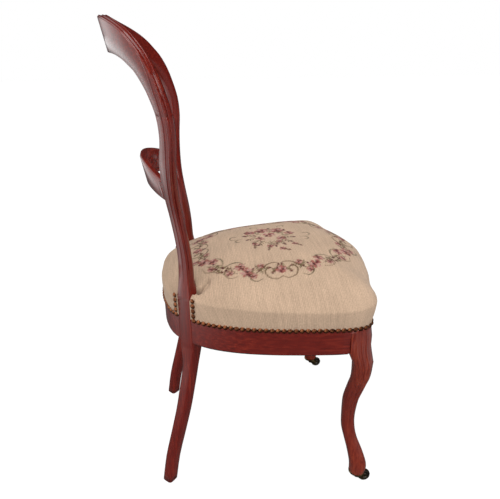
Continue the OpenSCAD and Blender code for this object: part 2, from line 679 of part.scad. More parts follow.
// A point of the dome: along the plan, at a height over the rails or at an angle over the edge
function dome_point(u, z, a, inset) = let(
    high = z + pow(sin(a), rise_power) * (crown_z - dome_z - inset),
    ring = pow(cos(a), by_half(u, round_shares)),
    full = swell * by_half(u, swell_shares) * pull_in(u),
    out = full * sin(180 * clamp((high - free_z) / swell_h, 0, 1)) - inset,
    edge = plan_at(u, out))
    [mix(crown_point[0], edge[0], ring), mix(crown_point[1], edge[1], ring), high];
dome_z = pad_z;
pad_angles = [0, 15, 32, 50, 67, 81];
cover_rows = concat([[cover_z, 0]],
    [for (s = [0, 0.25, 0.5, 0.75]) [mix(free_z, dome_z, s), 0]],
    [for (a = pad_angles) [dome_z, a]]);
function dome_ring(row, inset, sides) = [for (j = [0 : sides - 1])
    dome_point(j * plan_n / sides, row[0], row[1], inset)];
// The nails press the cover's edge in
pinch = 0.7;
cover_outer = [for (r = cover_rows) dome_ring(r, r[0] > free_z ? 0 : pinch, cover_sides)];
cover_inner = [for (r = cover_rows) dome_ring(r, cover_t, cover_sides)];

// Shell with an open lower rim between an outer and an inner set of rings
module dome_shell(outer, inner) {
    n = len(outer[0]);
    m = len(outer);
    rings = concat([for (i = [m - 1 : -1 : 0]) inner[i]], outer);
    total = len(rings);
    tips = [inner_tip(inner), outer_tip(outer)];
    points = concat([for (r = rings) each r], tips);
    sides = [for (i = [0 : total - 2], j = [0 : n - 1])
        let(a = i * n + j, b = i * n + (j + 1) % n)
        each [[a, b + n, b], [a, a + n, b + n]]];
    low_fan = [for (j = [0 : n - 1]) [total * n, j, (j + 1) % n]];
    top = (total - 1) * n;
    top_fan = [for (j = [0 : n - 1]) [top + j, total * n + 1, top + (j + 1) % n]];
    polyhedron(points, concat(sides, low_fan, top_fan), convexity = 6);
}
function outer_tip(r) = [crown_point[0], crown_point[1], crown_z];
function inner_tip(r) = [crown_point[0], crown_point[1], crown_z - cover_t];

// Room for a post through the upholstery
module post_notch(gap, low, high) {
    translate([-block_x, block_y, low]) rotate([0, 0, post_turn])
        translate([-block_face / 2 - gap, -block_t / 2 - gap, 0])
            cube([block_face + 2 * gap, block_t * 3, high - low]);
}
notch_gap = 1.2;

// Coil springs: their places on the seat, and one unbroken tube each
spring_low = rail_under;
spring_high = rail_top;
spring_flat_share = 0.11;
spring_xs_share = 0.35;
spring_front_share = 0.30;
spring_rear_share = 0.68;
spring_places = [[-1, spring_front_share], [1, spring_front_share], [0, 0.49], [-1, spring_rear_share],
    [1, spring_rear_share]];
function spring_spot(i) = [spring_places[i][0] * seat_w / 2 * spring_xs_share,
    (spring_places[i][1] - seat_front_share) * seat_d];
coil_rings = 8;
coil_sides = 6;
coil_n = spring_turns * coil_rings;
coil_h = spring_high - spring_low - spring_wire;
function coil_r(f) = mix(spring_d / 2 - spring_wire / 2, spring_waist_d / 2, sin(180 * f));
function coil_rise(f) = clamp((f - spring_flat_share) / (1 - 2 * spring_flat_share), 0, 1);
function coil_spot(f) = [-coil_r(f) * sin(360 * spring_turns * f), coil_r(f) * cos(360 * spring_turns * f),
    spring_low + spring_wire / 2 + coil_h * coil_rise(f)];
coil_centres = [for (i = [0 : coil_n]) coil_spot(i / coil_n)];
coil_skin = [for (i = [0 : coil_n]) let(
    c = coil_centres[i],
    a = 360 * spring_turns * i / coil_n)
    [for (j = [coil_sides - 1 : -1 : 0]) let(b = 360 * j / coil_sides + 30)
        c + spring_wire / 2 * (cos(b) * [-sin(a), cos(a), 0] + sin(b) * up)]];
least_gap = min([for (i = [0 : coil_n - coil_rings]) norm(coil_centres[i + coil_rings] - coil_centres[i])])
    - spring_wire;
echo(least_gap_between_turns = least_gap);

// Webbing straps under the rails, and what holds them
strap_low = rail_under - fit - web_t;
cross_low = strap_low - fit - web_t;
strap_xs = [-1, 0, 1] * (seat_w / 2 * spring_xs_share);
strap_ys = [for (s = [spring_front_share, 0.49, spring_rear_share]) (s - seat_front_share) * seat_d];
strap_inset = 8;
tack_inset = 15;
tack_d = 1.4;
tack_head_d = 4;
tack_head_t = 0.8;
tack_l = 9;
tack_spread_share = 0.36;
dust_t = 1;
dust_inset = 6;
dust_z = cross_low - tack_head_t - 2 * fit - dust_t;
dust_tack_us = [0.62, 3.28, 4.70, 5.71, 6.78, 10.3, 11.4];

function strap_tack_spots() = concat(
    [for (x = strap_xs, k = [-1, 1], front = [true, false])
        [x + k * web_w * tack_spread_share,
            edge_y(x + k * web_w * tack_spread_share, front) + (front ? 1 : -1) * tack_inset, strap_low]],
    [for (y = strap_ys, k = [-1, 1], side = [-1, 1])
        [side * (edge_x(y + k * web_w * tack_spread_share) - tack_inset), y + k * web_w * tack_spread_share,
            cross_low]]);
dust_tack_spots = [for (u = dust_tack_us, m = [-1, 1])
    let(p = plan_at(u, -tack_inset)) [-m * p[0], p[1], dust_z]];
module tack_at(spot) {
    translate([spot[0], spot[1], spot[2] - tack_head_t - fit / 2]) {
        cylinder(d = tack_head_d, h = tack_head_t);
        cylinder(d = tack_d, h = tack_l);
    }
}
module tack_bores() {
    for (s = concat(strap_tack_spots(), dust_tack_spots)) translate([s[0], s[1], dust_z - over])
        cylinder(d = tack_d + bore_fit, h = tack_l + rail_under - dust_z);
}

// Screws through the corner blocks: place along the plan for each block
front_screw_us = [6.35, 10.15];
rear_screw_us = [1.45, 3.32];
block_screw_d = 4;
block_screw_head_d = 7.6;
block_screw_l = 32;
block_screw_head_t = 3;
block_screw_sink = 18;
driver_room = 20;
corner_lift = 4;
corner_low = rail_under + corner_lift;
block_screw_z = corner_low + corner_block_h / 2;
screw_depth = rail_t + block_screw_sink;
module block_screw_at(u, extra = 0) {
    room = extra > 0 ? driver_room : 0;
    facing(u, block_screw_z, -screw_depth) {
        cylinder(d = block_screw_d - bore_fit + 2 * extra, h = block_screw_l + extra);
        translate([0, 0, -room])
            cylinder(d = block_screw_head_d - bore_fit + 2 * extra, h = block_screw_head_t + room);
    }
}

module place() {
    translate([0, -middle_y, 0]) children();
}
front_y = min([for (r = cover_outer, p = r) p[1]]);
rear_y = max([for (r = crest_rings, p = r) p[1]]);
middle_y = (front_y + rear_y) / 2;

wood = "#6e1f1a";
wood_dark = "#5a1814";
brass = "#6d5327";

module left_post() {
    color(wood) difference() {
        left_post_body();
        crest_dowel_pair(bore_fit);
        mid_dowel_pair(bore_fit);
        post_dowels(bore_fit);
    }
}
module left_back_post() {
    place() left_post();
}
module right_back_post() {
    place() mirror([1, 0, 0]) left_post();
}
module crest_rail() {
    place() color(wood) difference() {
        skin(crest_rings);
        for (m = [0, 1]) mirror([m, 0, 0]) crest_dowel_pair(bore_fit);
    }
}
module mid_rail() {
    place() color(wood) difference() {
        skin([for (i = [0 : mid_n]) mid_ring(i / mid_n)]);
        for (m = [0, 1]) mirror([m, 0, 0]) mid_dowel_pair(bore_fit);
    }
}
module back_seat_rail() {
    place() color(wood_dark) difference() {
        rail_blank(-post_u, post_u);
        for (m = [0, 1]) mirror([m, 0, 0]) {
            post_dowels(bore_fit);
            block_screw_at(rear_screw_us[0], bore_fit);
        }
        back_nail_places() nail_bore();
        tack_bores();
    }
}
module side_rail() {
    color(wood_dark) difference() {
        rail_blank(post_u, 8);
        post_dowels(bore_fit);
        knee_dowels(bore_fit);
        block_screw_at(rear_screw_us[1], bore_fit);
        block_screw_at(front_screw_us[0], bore_fit);
        side_nail_places() nail_bore();
        tack_bores();
    }
}
module left_side_rail() {
    place() side_rail();
}
module right_side_rail() {
    place() mirror([1, 0, 0]) side_rail();
}
module front_seat_rail() {
    place() color(wood_dark) difference() {
        rail_blank(8, plan_n - 8);
        for (m = [0, 1]) mirror([m, 0, 0]) {
            knee_dowels(bore_fit);
            block_screw_at(front_screw_us[1], bore_fit);
        }
        front_nail_places() nail_bore();
        tack_bores();
    }
}
module front_leg() {
    color(wood) difference() {
        skin(front_leg_rings);
        outside_cover();
        castor_bores();
        knee_dowels(bore_fit);
        side_nail_places() nail_bore();
        front_nail_places() nail_bore();
    }
}
module left_front_leg() {
    place() front_leg();
}
module right_front_leg() {
    place() mirror([1, 0, 0]) front_leg();
}

module corner_prism(corners) {
    translate([0, 0, corner_low]) linear_extrude(corner_block_h) intersection() {
        polygon(plan_area(-rail_t - fit, plan_steps));
        polygon(corners);
    }
}
module front_corner_block() {
    inner = knee_block * 0.9;
    color("#b08a5a") difference() {
        corner_prism([[-far, -far], [-knee_x + knee_block / 2 + inner, -far],
            [-knee_x + knee_block / 2 + inner, edge_y(-knee_x, true) + rail_t + fit * 4],
            [-knee_x, knee_y + knee_block / 2 + inner], [-far, knee_y + knee_block / 2 + inner]]);
        translate([0, 0, corner_low - over]) linear_extrude(corner_block_h + 2 * over) knee_room(fit);
        for (u = front_screw_us) block_screw_at(u, bore_fit);
    }
}
module rear_corner_block() {
    reach = block_face * 1.6;
    depth = block_t * 0.9;
    color("#b08a5a") difference() {
        corner_prism([for (p = [[-reach, block_t], [-reach, -depth], [reach, -depth], [reach, block_t]])
            block_place + p[0] * [cos(post_turn), sin(post_turn)]
            + p[1] * [-sin(post_turn), cos(post_turn)]]);
        translate([0, 0, corner_low - over]) linear_extrude(corner_block_h + 2 * over) post_footprint(fit);
        for (u = rear_screw_us) block_screw_at(u, bore_fit);
    }
}
module post_footprint(gap) {
    translate([-block_x, block_y]) rotate(post_turn)
        square([block_face + 2 * gap, block_t + 2 * gap], center = true);
}
module front_left_corner_block() {
    place() front_corner_block();
}
module front_right_corner_block() {
    place() mirror([1, 0, 0]) front_corner_block();
}
module rear_left_corner_block() {
    place() rear_corner_block();
}
module rear_right_corner_block() {
    place() mirror([1, 0, 0]) rear_corner_block();
}
module corner_block_screws() {
    place() color("#8d8a84") for (m = [0, 1], u = concat(front_screw_us, rear_screw_us))
        mirror([m, 0, 0]) block_screw_at(u);
}
module crest_dowels() {
    place() color("#c9a36b") for (m = [0, 1]) mirror([m, 0, 0]) crest_dowel_pair();
}
module mid_rail_dowels() {
    place() color("#c9a36b") for (m = [0, 1]) mirror([m, 0, 0]) mid_dowel_pair();
}
module seat_rail_dowels() {
    place() color("#c9a36b") for (m = [0, 1]) mirror([m, 0, 0]) {
        post_dowels();
        knee_dowels();
    }
}

module strap_holes() {
    for (s = strap_tack_spots()) translate([s[0], s[1], dust_z]) cylinder(d = tack_d + bore_fit, h = tack_l);
}
module webbing_lengthwise() {
    place() color("#b99a6b") difference() {
        for (x = strap_xs) translate([0, 0, strap_low]) linear_extrude(web_t) intersection() {
            polygon(plan_area(-strap_inset, plan_steps));
            translate([x - web_w / 2, -far]) square([web_w, 3 * far]);
        }
        strap_holes();
    }
}
module webbing_crosswise() {
    place() color("#b99a6b") difference() {
        for (y = strap_ys) translate([0, 0, cross_low]) linear_extrude(web_t) intersection() {
            polygon(plan_area(-strap_inset, plan_steps));
            translate([-far, y - web_w / 2]) square([2 * far, web_w]);
        }
        strap_holes();
    }
}
module webbing_tacks() {
    place() color("#3b3f4a") for (s = strap_tack_spots()) tack_at(s);
}
module spring(i) {
    place() color("#8b8f94") translate([spring_spot(i)[0], spring_spot(i)[1], 0]) skin(coil_skin);
}
module spring_twine() {
    place() color("#c9b58a") {
        for (x = strap_xs) translate([x, edge_y(x, true) + rail_t / 3, twine_z]) rotate([-90, 0, 0])
            cylinder(d = twine_d, h = edge_y(x, false) - edge_y(x, true) - rail_t * 2 / 3);
        for (y = strap_ys) translate([rail_t / 3 - edge_x(y), y, twine_z + twine_d + fit / 2])
            rotate([0, 90, 0]) cylinder(d = twine_d, h = 2 * edge_x(y) - rail_t * 2 / 3);
    }
}
module hessian_sheet() {
    place() color("#a98b5d") difference() {
        translate([0, 0, hessian_z]) linear_extrude(hessian_t) inside_cover();
        for (m = [0, 1]) mirror([m, 0, 0])
            post_notch(notch_gap, hessian_z - over, hessian_z + hessian_t + over);
    }
}
module stuffing_pad() {
    place() color("#5d4a38") difference() {
        skin([for (a = pad_angles) dome_ring([pad_z, a], pad_inset, cover_sides)], leans_back = true);
        for (m = [0, 1]) mirror([m, 0, 0]) post_notch(notch_gap, pad_z - over, pad_z + crown_h);
    }
}
module seat_cover() {
    place() color("#cdb598") difference() {
        dome_shell(cover_outer, cover_inner);
        for (m = [0, 1]) mirror([m, 0, 0]) side_upright_places() nail_bore($fn = 8);
        back_upright_places() nail_bore($fn = 8);
        for (m = [0, 1]) mirror([m, 0, 0]) post_notch(notch_gap / 2, cover_z - over, cover_z + crown_h);
    }
}
module left_side_nails() {
    place() color(brass) side_nail_places() nail();
}
module right_side_nails() {
    place() color(brass) mirror([1, 0, 0]) side_nail_places() nail();
}
module front_nails() {
    place() color(brass) front_nail_places() nail();
}
module back_nails() {
    place() color(brass) back_nail_places() nail();
}
module dust_cover() {
    place() color("#2d2b2a") translate([0, 0, dust_z]) linear_extrude(dust_t) difference() {
        polygon(plan_area(-dust_inset, plan_steps));
        for (m = [0, 1]) mirror([m, 0]) {
            post_footprint(notch_gap);
            knee_room(notch_gap);
        }
        for (s = dust_tack_spots) translate([s[0], s[1]]) circle(d = tack_d + bore_fit);
    }
}
module dust_cover_tacks() {
    place() color("#3b3f4a") for (s = dust_tack_spots) tack_at(s);
}

left_back_post();
right_back_post();
crest_rail();
mid_rail();
back_seat_rail();
left_side_rail();
right_side_rail();
front_seat_rail();
left_front_leg();
right_front_leg();
front_left_corner_block();
front_right_corner_block();
rear_left_corner_block();
rear_right_corner_block();
corner_block_screws();
crest_dowels();
mid_rail_dowels();
seat_rail_dowels();
webbing_lengthwise();
webbing_crosswise();
webbing_tacks();
spring(0);  // front_left_spring
spring(1);  // front_right_spring
spring(2);  // middle_spring
spring(3);  // rear_left_spring
spring(4);  // rear_right_spring
spring_twine();
hessian_sheet();
stuffing_pad();
seat_cover();
left_side_nails();
right_side_nails();
front_nails();
back_nails();
dust_cover();
dust_cover_tacks();
at_castor(-1) castor_plate();  // left_castor_plate
at_castor(-1) castor_screws();  // left_castor_screws
at_castor(-1) castor_stem();  // left_castor_stem
at_castor(-1) castor_horn();  // left_castor_horn
at_castor(-1) castor_wheel();  // left_castor_wheel
at_castor(-1) castor_axle();  // left_castor_axle
at_castor(1) castor_plate();  // right_castor_plate
at_castor(1) castor_screws();  // right_castor_screws
at_castor(1) castor_stem();  // right_castor_stem
at_castor(1) castor_horn();  // right_castor_horn
at_castor(1) castor_wheel();  // right_castor_wheel
at_castor(1) castor_axle();  // right_castor_axle
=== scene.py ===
"""Looks of a balloon back dining chair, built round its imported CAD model.

The chair faces -Y, stands on Z = 0 and is in metres. Wood, nails and castors keep the CAD shapes,
and the posts, crest, mid rail, front legs and castors are shaded smooth. The stuffed seat with its
needlework, the two cloth sheets, the reeds, flutes and carving, the glue lines and one more nail on
each upright row are new.
"""

import json
import math
import random

import bmesh
import bpy
from mathutils import Matrix, Vector, noise
from mathutils.bvhtree import BVHTree
from mathutils.kdtree import KDTree


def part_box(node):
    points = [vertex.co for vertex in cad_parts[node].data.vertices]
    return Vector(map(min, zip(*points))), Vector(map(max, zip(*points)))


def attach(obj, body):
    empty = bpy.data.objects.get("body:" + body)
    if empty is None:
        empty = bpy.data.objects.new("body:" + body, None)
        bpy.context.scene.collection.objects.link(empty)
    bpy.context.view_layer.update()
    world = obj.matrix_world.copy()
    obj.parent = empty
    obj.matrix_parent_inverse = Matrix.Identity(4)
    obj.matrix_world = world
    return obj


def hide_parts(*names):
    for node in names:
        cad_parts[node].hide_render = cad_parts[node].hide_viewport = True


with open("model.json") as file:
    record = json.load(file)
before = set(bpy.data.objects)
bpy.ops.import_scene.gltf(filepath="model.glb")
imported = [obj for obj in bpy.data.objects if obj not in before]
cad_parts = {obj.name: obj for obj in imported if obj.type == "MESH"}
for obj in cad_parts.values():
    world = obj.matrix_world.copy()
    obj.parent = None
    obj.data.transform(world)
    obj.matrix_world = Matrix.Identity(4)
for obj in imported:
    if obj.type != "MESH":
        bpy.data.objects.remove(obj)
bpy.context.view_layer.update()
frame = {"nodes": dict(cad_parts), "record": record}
nodes = frame["nodes"]
MM = 0.001
same_spot = 0.00001


# ---------------------------------------------------------------- helpers
def colour(code):
    """An sRGB hex colour as linear RGBA."""
    parts = [int(code[i:i + 2], 16) / 255 for i in (1, 3, 5)]
    return tuple(c / 12.92 if c <= 0.04045 else ((c + 0.055) / 1.055) ** 2.4 for c in parts) + (1,)


def new_material(name):
    """An empty node material, with its tree."""
    made = bpy.data.materials.new(name)
    made.use_nodes = True
    made.node_tree.nodes.clear()
    return made, made.node_tree


def add(tree, kind, inputs=(), stops=(), **settings):
    """Adds a node, with its settings, its colour stops, and its inputs as values or as links."""
    made = tree.nodes.new("ShaderNode" + kind)
    for key, value in settings.items():
        setattr(made, key, value)
    for i, (place, code) in enumerate(stops):
        stop = made.color_ramp.elements[i] if i < 2 else made.color_ramp.elements.new(place)
        stop.position = place
        stop.color = colour(code)
    for key, value in dict(inputs).items():
        if isinstance(value, bpy.types.NodeSocket):
            tree.links.new(value, made.inputs[key])
        else:
            made.inputs[key].default_value = value
    return made


def linked(name, data):
    """A new object of a mesh, camera or light, in the scene."""
    made = bpy.data.objects.new(name, data)
    bpy.context.scene.collection.objects.link(made)
    return made


def finish_material(made, tree, shader):
    """Joins the shader to the output."""
    add(tree, "OutputMaterial", {"Surface": shader.outputs[0]})
    return made


# ---------------------------------------------------------------- finishes
def streaked(tree, place, grain, across, along, detail):
    """Noise drawn out along the grain: across and along are its sizes in millimetres, and grain is
    the axis that it runs along."""
    scale = [1 / (across * MM)] * 3
    scale[grain] = 1 / (along * MM)
    stretched = add(tree, "Mapping", {"Vector": place, "Scale": scale})
    return add(tree, "TexNoise", {"Vector": stretched.outputs[0], "Scale": 1, "Detail": detail,
                                  "Roughness": 0.6, "Distortion": 0.3}).outputs["Fac"]


def blended(tree, share, a, b):
    """Colour a turning to colour b by share."""
    made = add(tree, "Mix", {0: share}, data_type="RGBA")
    for i, side in ((6, a), (7, b)):
        if isinstance(side, bpy.types.NodeSocket):
            tree.links.new(side, made.inputs[i])
        else:
            made.inputs[i].default_value = colour(side)
    return made.outputs[2]


def polished_mahogany(name, grain, dark="#4c0f08", mid="#701a10", pale="#9a341f"):
    """Mahogany under french polish: red-brown streaks along the grain, fine dark pores, and a
    thick clear gloss over wood whose face is faintly rippled."""
    made, tree = new_material(name)
    place = add(tree, "TexCoord").outputs["Object"]
    lines = streaked(tree, place, grain, 4, 75, 6)
    shade = add(tree, "ValToRGB", {"Fac": lines},
                stops=[(0.30, dark), (0.72, pale), (0.50, mid)])
    drift = add(tree, "TexNoise", {"Vector": place, "Scale": 9, "Detail": 2})
    drifted = blended(tree, drift.outputs["Fac"], shade.outputs["Color"], "#6a1710")
    # Pores are about 0.3 mm wide, drawn 0.8 mm wide so that they show
    pores = add(tree, "MapRange", {"Value": streaked(tree, place, grain, 0.8, 14, 2),
                                   "From Min": 0.60, "From Max": 0.72, "To Max": 0.4})
    pored = blended(tree, pores.outputs[0], drifted, "#2c0705")
    ripple = add(tree, "TexNoise", {"Vector": place, "Scale": 55, "Detail": 2})
    bump = add(tree, "Bump", {"Height": ripple.outputs["Fac"], "Strength": 0.1, "Distance": 0.0006})
    shader = add(tree, "BsdfPrincipled", {
        "Base Color": pored, "Roughness": 0.36, "Specular IOR Level": 0.12, "Coat Weight": 0.8,
        "Coat Roughness": 0.14, "Coat IOR": 1.42, "Normal": bump.outputs[0]})
    return finish_material(made, tree, shader)


def plain_wood(name, pale, dark, grain):
    """Unfinished beech: pale, matt, with short flecks along the grain."""
    made, tree = new_material(name)
    place = add(tree, "TexCoord").outputs["Object"]
    lines = streaked(tree, place, grain, 2.4, 33, 5)
    shade = add(tree, "ValToRGB", {"Fac": lines}, stops=[(0.35, dark), (0.65, pale)])
    bump = add(tree, "Bump", {"Height": lines, "Strength": 0.3, "Distance": 0.0003})
    shader = add(tree, "BsdfPrincipled", {"Base Color": shade.outputs[0], "Roughness": 0.62,
                                          "IOR": 1.5, "Normal": bump.outputs[0]})
    return finish_material(made, tree, shader)


def aged_metal(name, bright, dull, rough, spot_mm, metal=1.0):
    """Brass or steel that has dulled: bright where it is rubbed and dark in patches."""
    made, tree = new_material(name)
    place = add(tree, "TexCoord").outputs["Object"]
    patches = add(tree, "TexNoise", {"Vector": place, "Scale": 1 / (spot_mm * MM), "Detail": 5,
                                     "Roughness": 0.65})
    patch = patches.outputs["Fac"]
    shade = add(tree, "ValToRGB", {"Fac": patch}, stops=[(0.36, dull), (0.64, bright)])
    gloss = add(tree, "MapRange", {"Value": patch, "From Min": 0.3, "From Max": 0.7,
                                   "To Min": rough + 0.22, "To Max": rough})
    bump = add(tree, "Bump", {"Height": patch, "Strength": 0.25, "Distance": 0.0002})
    shader = add(tree, "BsdfPrincipled", {
        "Base Color": shade.outputs[0], "Metallic": metal, "Roughness": gloss.outputs[0],
        "Normal": bump.outputs[0]})
    return finish_material(made, tree, shader)


def ribs(tree, parts, axis, pitch):
    """Rounded ribs that follow each other along an axis: 0 between them and 1 on their tops."""
    turn = add(tree, "Math", {0: parts.outputs[axis], 1: math.pi / pitch}, operation="MULTIPLY")
    wave = add(tree, "Math", {0: turn.outputs[0]}, operation="SINE")
    return add(tree, "Math", {0: wave.outputs[0]}, operation="ABSOLUTE").outputs[0]


def plain_weave(name, pale, dark, thread_mm, rough=0.9):
    """Open plain weave of two sets of threads, drawn at the thread's own spacing."""
    made, tree = new_material(name)
    place = add(tree, "TexCoord").outputs["Object"]
    parts = add(tree, "SeparateXYZ", {"Vector": place})
    waves = [ribs(tree, parts, axis, thread_mm * MM) for axis in ("X", "Y")]
    weave = add(tree, "Math", {0: waves[0], 1: waves[1]}, operation="MULTIPLY")
    fuzz = add(tree, "TexNoise", {"Vector": place, "Scale": 500, "Detail": 3})
    height = add(tree, "Math", {0: fuzz.outputs["Fac"], 1: weave.outputs[0]}, operation="MULTIPLY")
    shade = add(tree, "ValToRGB", {"Fac": height.outputs[0]}, stops=[(0.05, dark), (0.40, pale)])
    bump = add(tree, "Bump", {"Height": weave.outputs[0], "Strength": 0.6, "Distance": 0.0005})
    shader = add(tree, "BsdfPrincipled", {"Base Color": shade.outputs[0], "Roughness": rough,
                                          "Sheen Weight": 0.15, "Normal": bump.outputs[0]})
    return finish_material(made, tree, shader)


def needlework_wool(name):
    """Wool stitched on canvas: ribs of stitches 3 mm apart along one way, with painted shade in the
    hollows between them, slow streaks where the dye lots differ, and the soft pale edge that wool
    fibre gives. The flowers come from the colour that each stitch has on the mesh."""
    made, tree = new_material(name)
    stitched = add(tree, "Attribute", attribute_name="wool", attribute_type="GEOMETRY")
    canvas = add(tree, "UVMap", uv_map="canvas").outputs[0]
    parts = add(tree, "SeparateXYZ", {"Vector": canvas})
    rib_pitch = 0.0030
    stitch_pitch = 0.0026
    waves = [ribs(tree, parts, "Y", rib_pitch), ribs(tree, parts, "X", stitch_pitch)]
    # Painted shade: the wool is darker in the hollows between the ribs and lighter on their tops
    rib_painted_shade = add(tree, "MapRange", {"Value": waves[0], "To Min": 0.86, "To Max": 1.03})
    streak_place = add(tree, "Mapping", {"Vector": canvas, "Scale": (14, 210, 1)})
    streaks = add(tree, "TexNoise", {"Vector": streak_place.outputs[0], "Scale": 1, "Detail": 4,
                                     "Roughness": 0.6})
    streak_shade = add(tree, "MapRange", {"Value": streaks.outputs["Fac"], "From Min": 0.25,
                                          "From Max": 0.75, "To Min": 0.86, "To Max": 1.10})
    age = add(tree, "TexNoise", {"Vector": canvas, "Scale": 14, "Detail": 3})
    age_shade = add(tree, "MapRange", {"Value": age.outputs["Fac"], "From Min": 0.3,
                                       "From Max": 0.7, "To Min": 0.92, "To Max": 1.06})
    fleck = add(tree, "TexNoise", {"Vector": canvas, "Scale": 330, "Detail": 2})
    fleck_shade = add(tree, "MapRange", {"Value": fleck.outputs["Fac"], "From Min": 0.3,
                                         "From Max": 0.7, "To Min": 0.88, "To Max": 1.10})
    mottled = add(tree, "Math", {0: fleck_shade.outputs[0], 1: streak_shade.outputs[0]},
                  operation="MULTIPLY")
    ribbed = add(tree, "Math", {0: rib_painted_shade.outputs[0], 1: mottled.outputs[0]},
                 operation="MULTIPLY")
    wear_and_painted_shade = add(tree, "Math", {0: ribbed.outputs[0], 1: age_shade.outputs[0]}, operation="MULTIPLY")
    shaded = add(tree, "VectorMath", {0: stitched.outputs["Color"]}, operation="SCALE")
    tree.links.new(wear_and_painted_shade.outputs[0], shaded.inputs["Scale"])
    stitches = add(tree, "Math", {0: waves[1], 1: 0.35}, operation="MULTIPLY")
    height = add(tree, "Math", {0: waves[0], 1: stitches.outputs[0]}, operation="ADD")
    bump = add(tree, "Bump", {"Height": height.outputs[0], "Strength": 0.55, "Distance": 0.0006})
    shader = add(tree, "BsdfPrincipled", {"Base Color": shaded.outputs[0], "Roughness": 0.95,
                                          "Specular IOR Level": 0.1, "Sheen Weight": 0.12,
                                          "Sheen Roughness": 0.5, "Normal": bump.outputs[0]})
    return finish_material(made, tree, shader)


crosswise, lengthwise, upright = 0, 1, 2
mahogany_up = polished_mahogany("french_polished_mahogany_upright", upright)
mahogany_across = polished_mahogany("french_polished_mahogany_across", crosswise)
mahogany_along = polished_mahogany("french_polished_mahogany_along", lengthwise)
# Painted light: a lighter, warmer copy of the mahogany for the front legs and their flutes, which
# stand in more light than the rails
mahogany_painted_lit = polished_mahogany("french_polished_mahogany_lighter_for_painted_light", upright, "#5e190d",
                                    "#8a3420", "#ad4b2c")
old_glue = polished_mahogany("polish_over_old_glue", crosswise, "#2c0905", "#3b0d08", "#4a120b")
beech = plain_wood("sawn_beech", "#c79a68", "#a87a4b", upright)
dowel_beech = plain_wood("turned_beech", "#d9b382", "#bd9564", crosswise)
nail_brass = aged_metal("antiqued_brass", "#8c5537", "#3d2418", 0.24, 5)
castor_brass = aged_metal("tarnished_brass", "#7d6a48", "#3b3327", 0.38, 7)
castor_iron = aged_metal("cast_iron", "#5a544b", "#35312c", 0.42, 6)
pin_steel = aged_metal("dull_steel", "#8d877c", "#57524a", 0.35, 5)
wire_steel = aged_metal("coppered_wire", "#8f8272", "#5f564b", 0.34, 8)
screw_steel = aged_metal("plain_steel", "#9a9892", "#6c6a66", 0.33, 5)
wool = needlework_wool("needlework_wool")
hair = plain_weave("curled_hair", "#6b5744", "#3a2d22", 1.2)
blued_steel = aged_metal("blued_steel", "#3a3f4b", "#22252c", 0.38, 4)
jute = plain_weave("jute_webbing", "#b89a6d", "#7d6544", 3.0)
hessian = plain_weave("hessian_cloth", "#a98b5d", "#6e5738", 1.8)
lining = plain_weave("black_lining", "#34312f", "#151413", 0.9)

finishes = {
    "mahogany": mahogany_up, "frame_wood": mahogany_across, "block_wood": beech,
    "dowel_wood": dowel_beech, "hessian": hessian, "webbing": jute, "twine": hessian,
    "dust_cloth": lining, "spring_wire": wire_steel, "antique_brass": nail_brass,
    "castor_brass": castor_brass, "castor_pin": pin_steel, "castor_wheel": castor_iron,
    "blued_tack": blued_steel, "screw_steel": screw_steel, "stuffing": hair,
    "tapestry": wool}
special = {"left_side_rail": mahogany_along, "right_side_rail": mahogany_along,
           "left_front_leg": mahogany_painted_lit, "right_front_leg": mahogany_painted_lit,
           "crest_rail": mahogany_across, "mid_rail": mahogany_across}
for name, made in nodes.items():
    packed = made.data.materials[0].name.split(".")[0]
    made.data.materials[0] = special.get(name, finishes[packed])

# ---------------------------------------------------------------- woodwork and castors
def only(*chosen):
    """Selects these objects and nothing else, and makes the first one active."""
    bpy.ops.object.select_all(action="DESELECT")
    for each in chosen:
        each.select_set(True)
    bpy.context.view_layer.objects.active = chosen[0]


def face_out(made):
    """Turns all the faces of an object outwards, and leaves it active."""
    only(made)
    bpy.ops.object.mode_set(mode="EDIT")
    bpy.ops.mesh.select_all(action="SELECT")
    bpy.ops.mesh.normals_make_consistent(inside=False)
    bpy.ops.object.mode_set(mode="OBJECT")


def smoothed(node, sharp_degrees):
    """A copy of a CAD node with its loose triangles joined and its soft edges shaded smooth."""
    made = nodes[node].copy()
    made.data = nodes[node].data.copy()
    made.name = node + "_smooth"
    bpy.context.scene.collection.objects.link(made)
    only(made)
    bpy.ops.object.mode_set(mode="EDIT")
    bpy.ops.mesh.select_all(action="SELECT")
    bpy.ops.mesh.remove_doubles(threshold=0.00002)
    bpy.ops.object.mode_set(mode="OBJECT")
    bpy.ops.object.shade_smooth_by_angle(angle=math.radians(sharp_degrees))
    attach(made, body_of[node])
    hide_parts(node)
    return made


wood_sharp_degrees, metal_sharp_degrees = 34, 40
groups = frame["record"]["behaviour"]["bodies"]
body_of = {node: body for body, members in groups.items() for node in members}
for node in ("left_back_post", "right_back_post", "crest_rail", "mid_rail", "left_front_leg",
             "right_front_leg"):
    smoothed(node, wood_sharp_degrees)
for side in ("left", "right"):
    for part in ("plate", "stem", "horn", "wheel", "axle"):
        smoothed(f"{side}_castor_{part}", metal_sharp_degrees)

# ---------------------------------------------------------------- the stuffed seat
# Half the seat's outline from the middle of the back to the middle of the front, as shares of half
# the width and of the depth over the rails
outline_shares = ((0, 1), (0.286, 0.986), (0.530, 0.936), (0.719, 0.826), (0.839, 0.695),
                  (0.922, 0.533), (0.977, 0.339), (1, 0.187), (0.963, 0.099), (0.839, 0.063),
                  (0.599, 0.050), (0.300, 0.015), (0, 0))
seat_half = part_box("right_side_rail")[1].x
seat_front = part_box("front_seat_rail")[0].y
seat_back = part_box("back_seat_rail")[1].y
half_outline = [Vector((-x * seat_half, seat_front + y * (seat_back - seat_front)))
                for x, y in outline_shares]
outline = half_outline + [Vector((-p.x, p.y)) for p in half_outline[-2:0:-1]]
turns = len(outline)


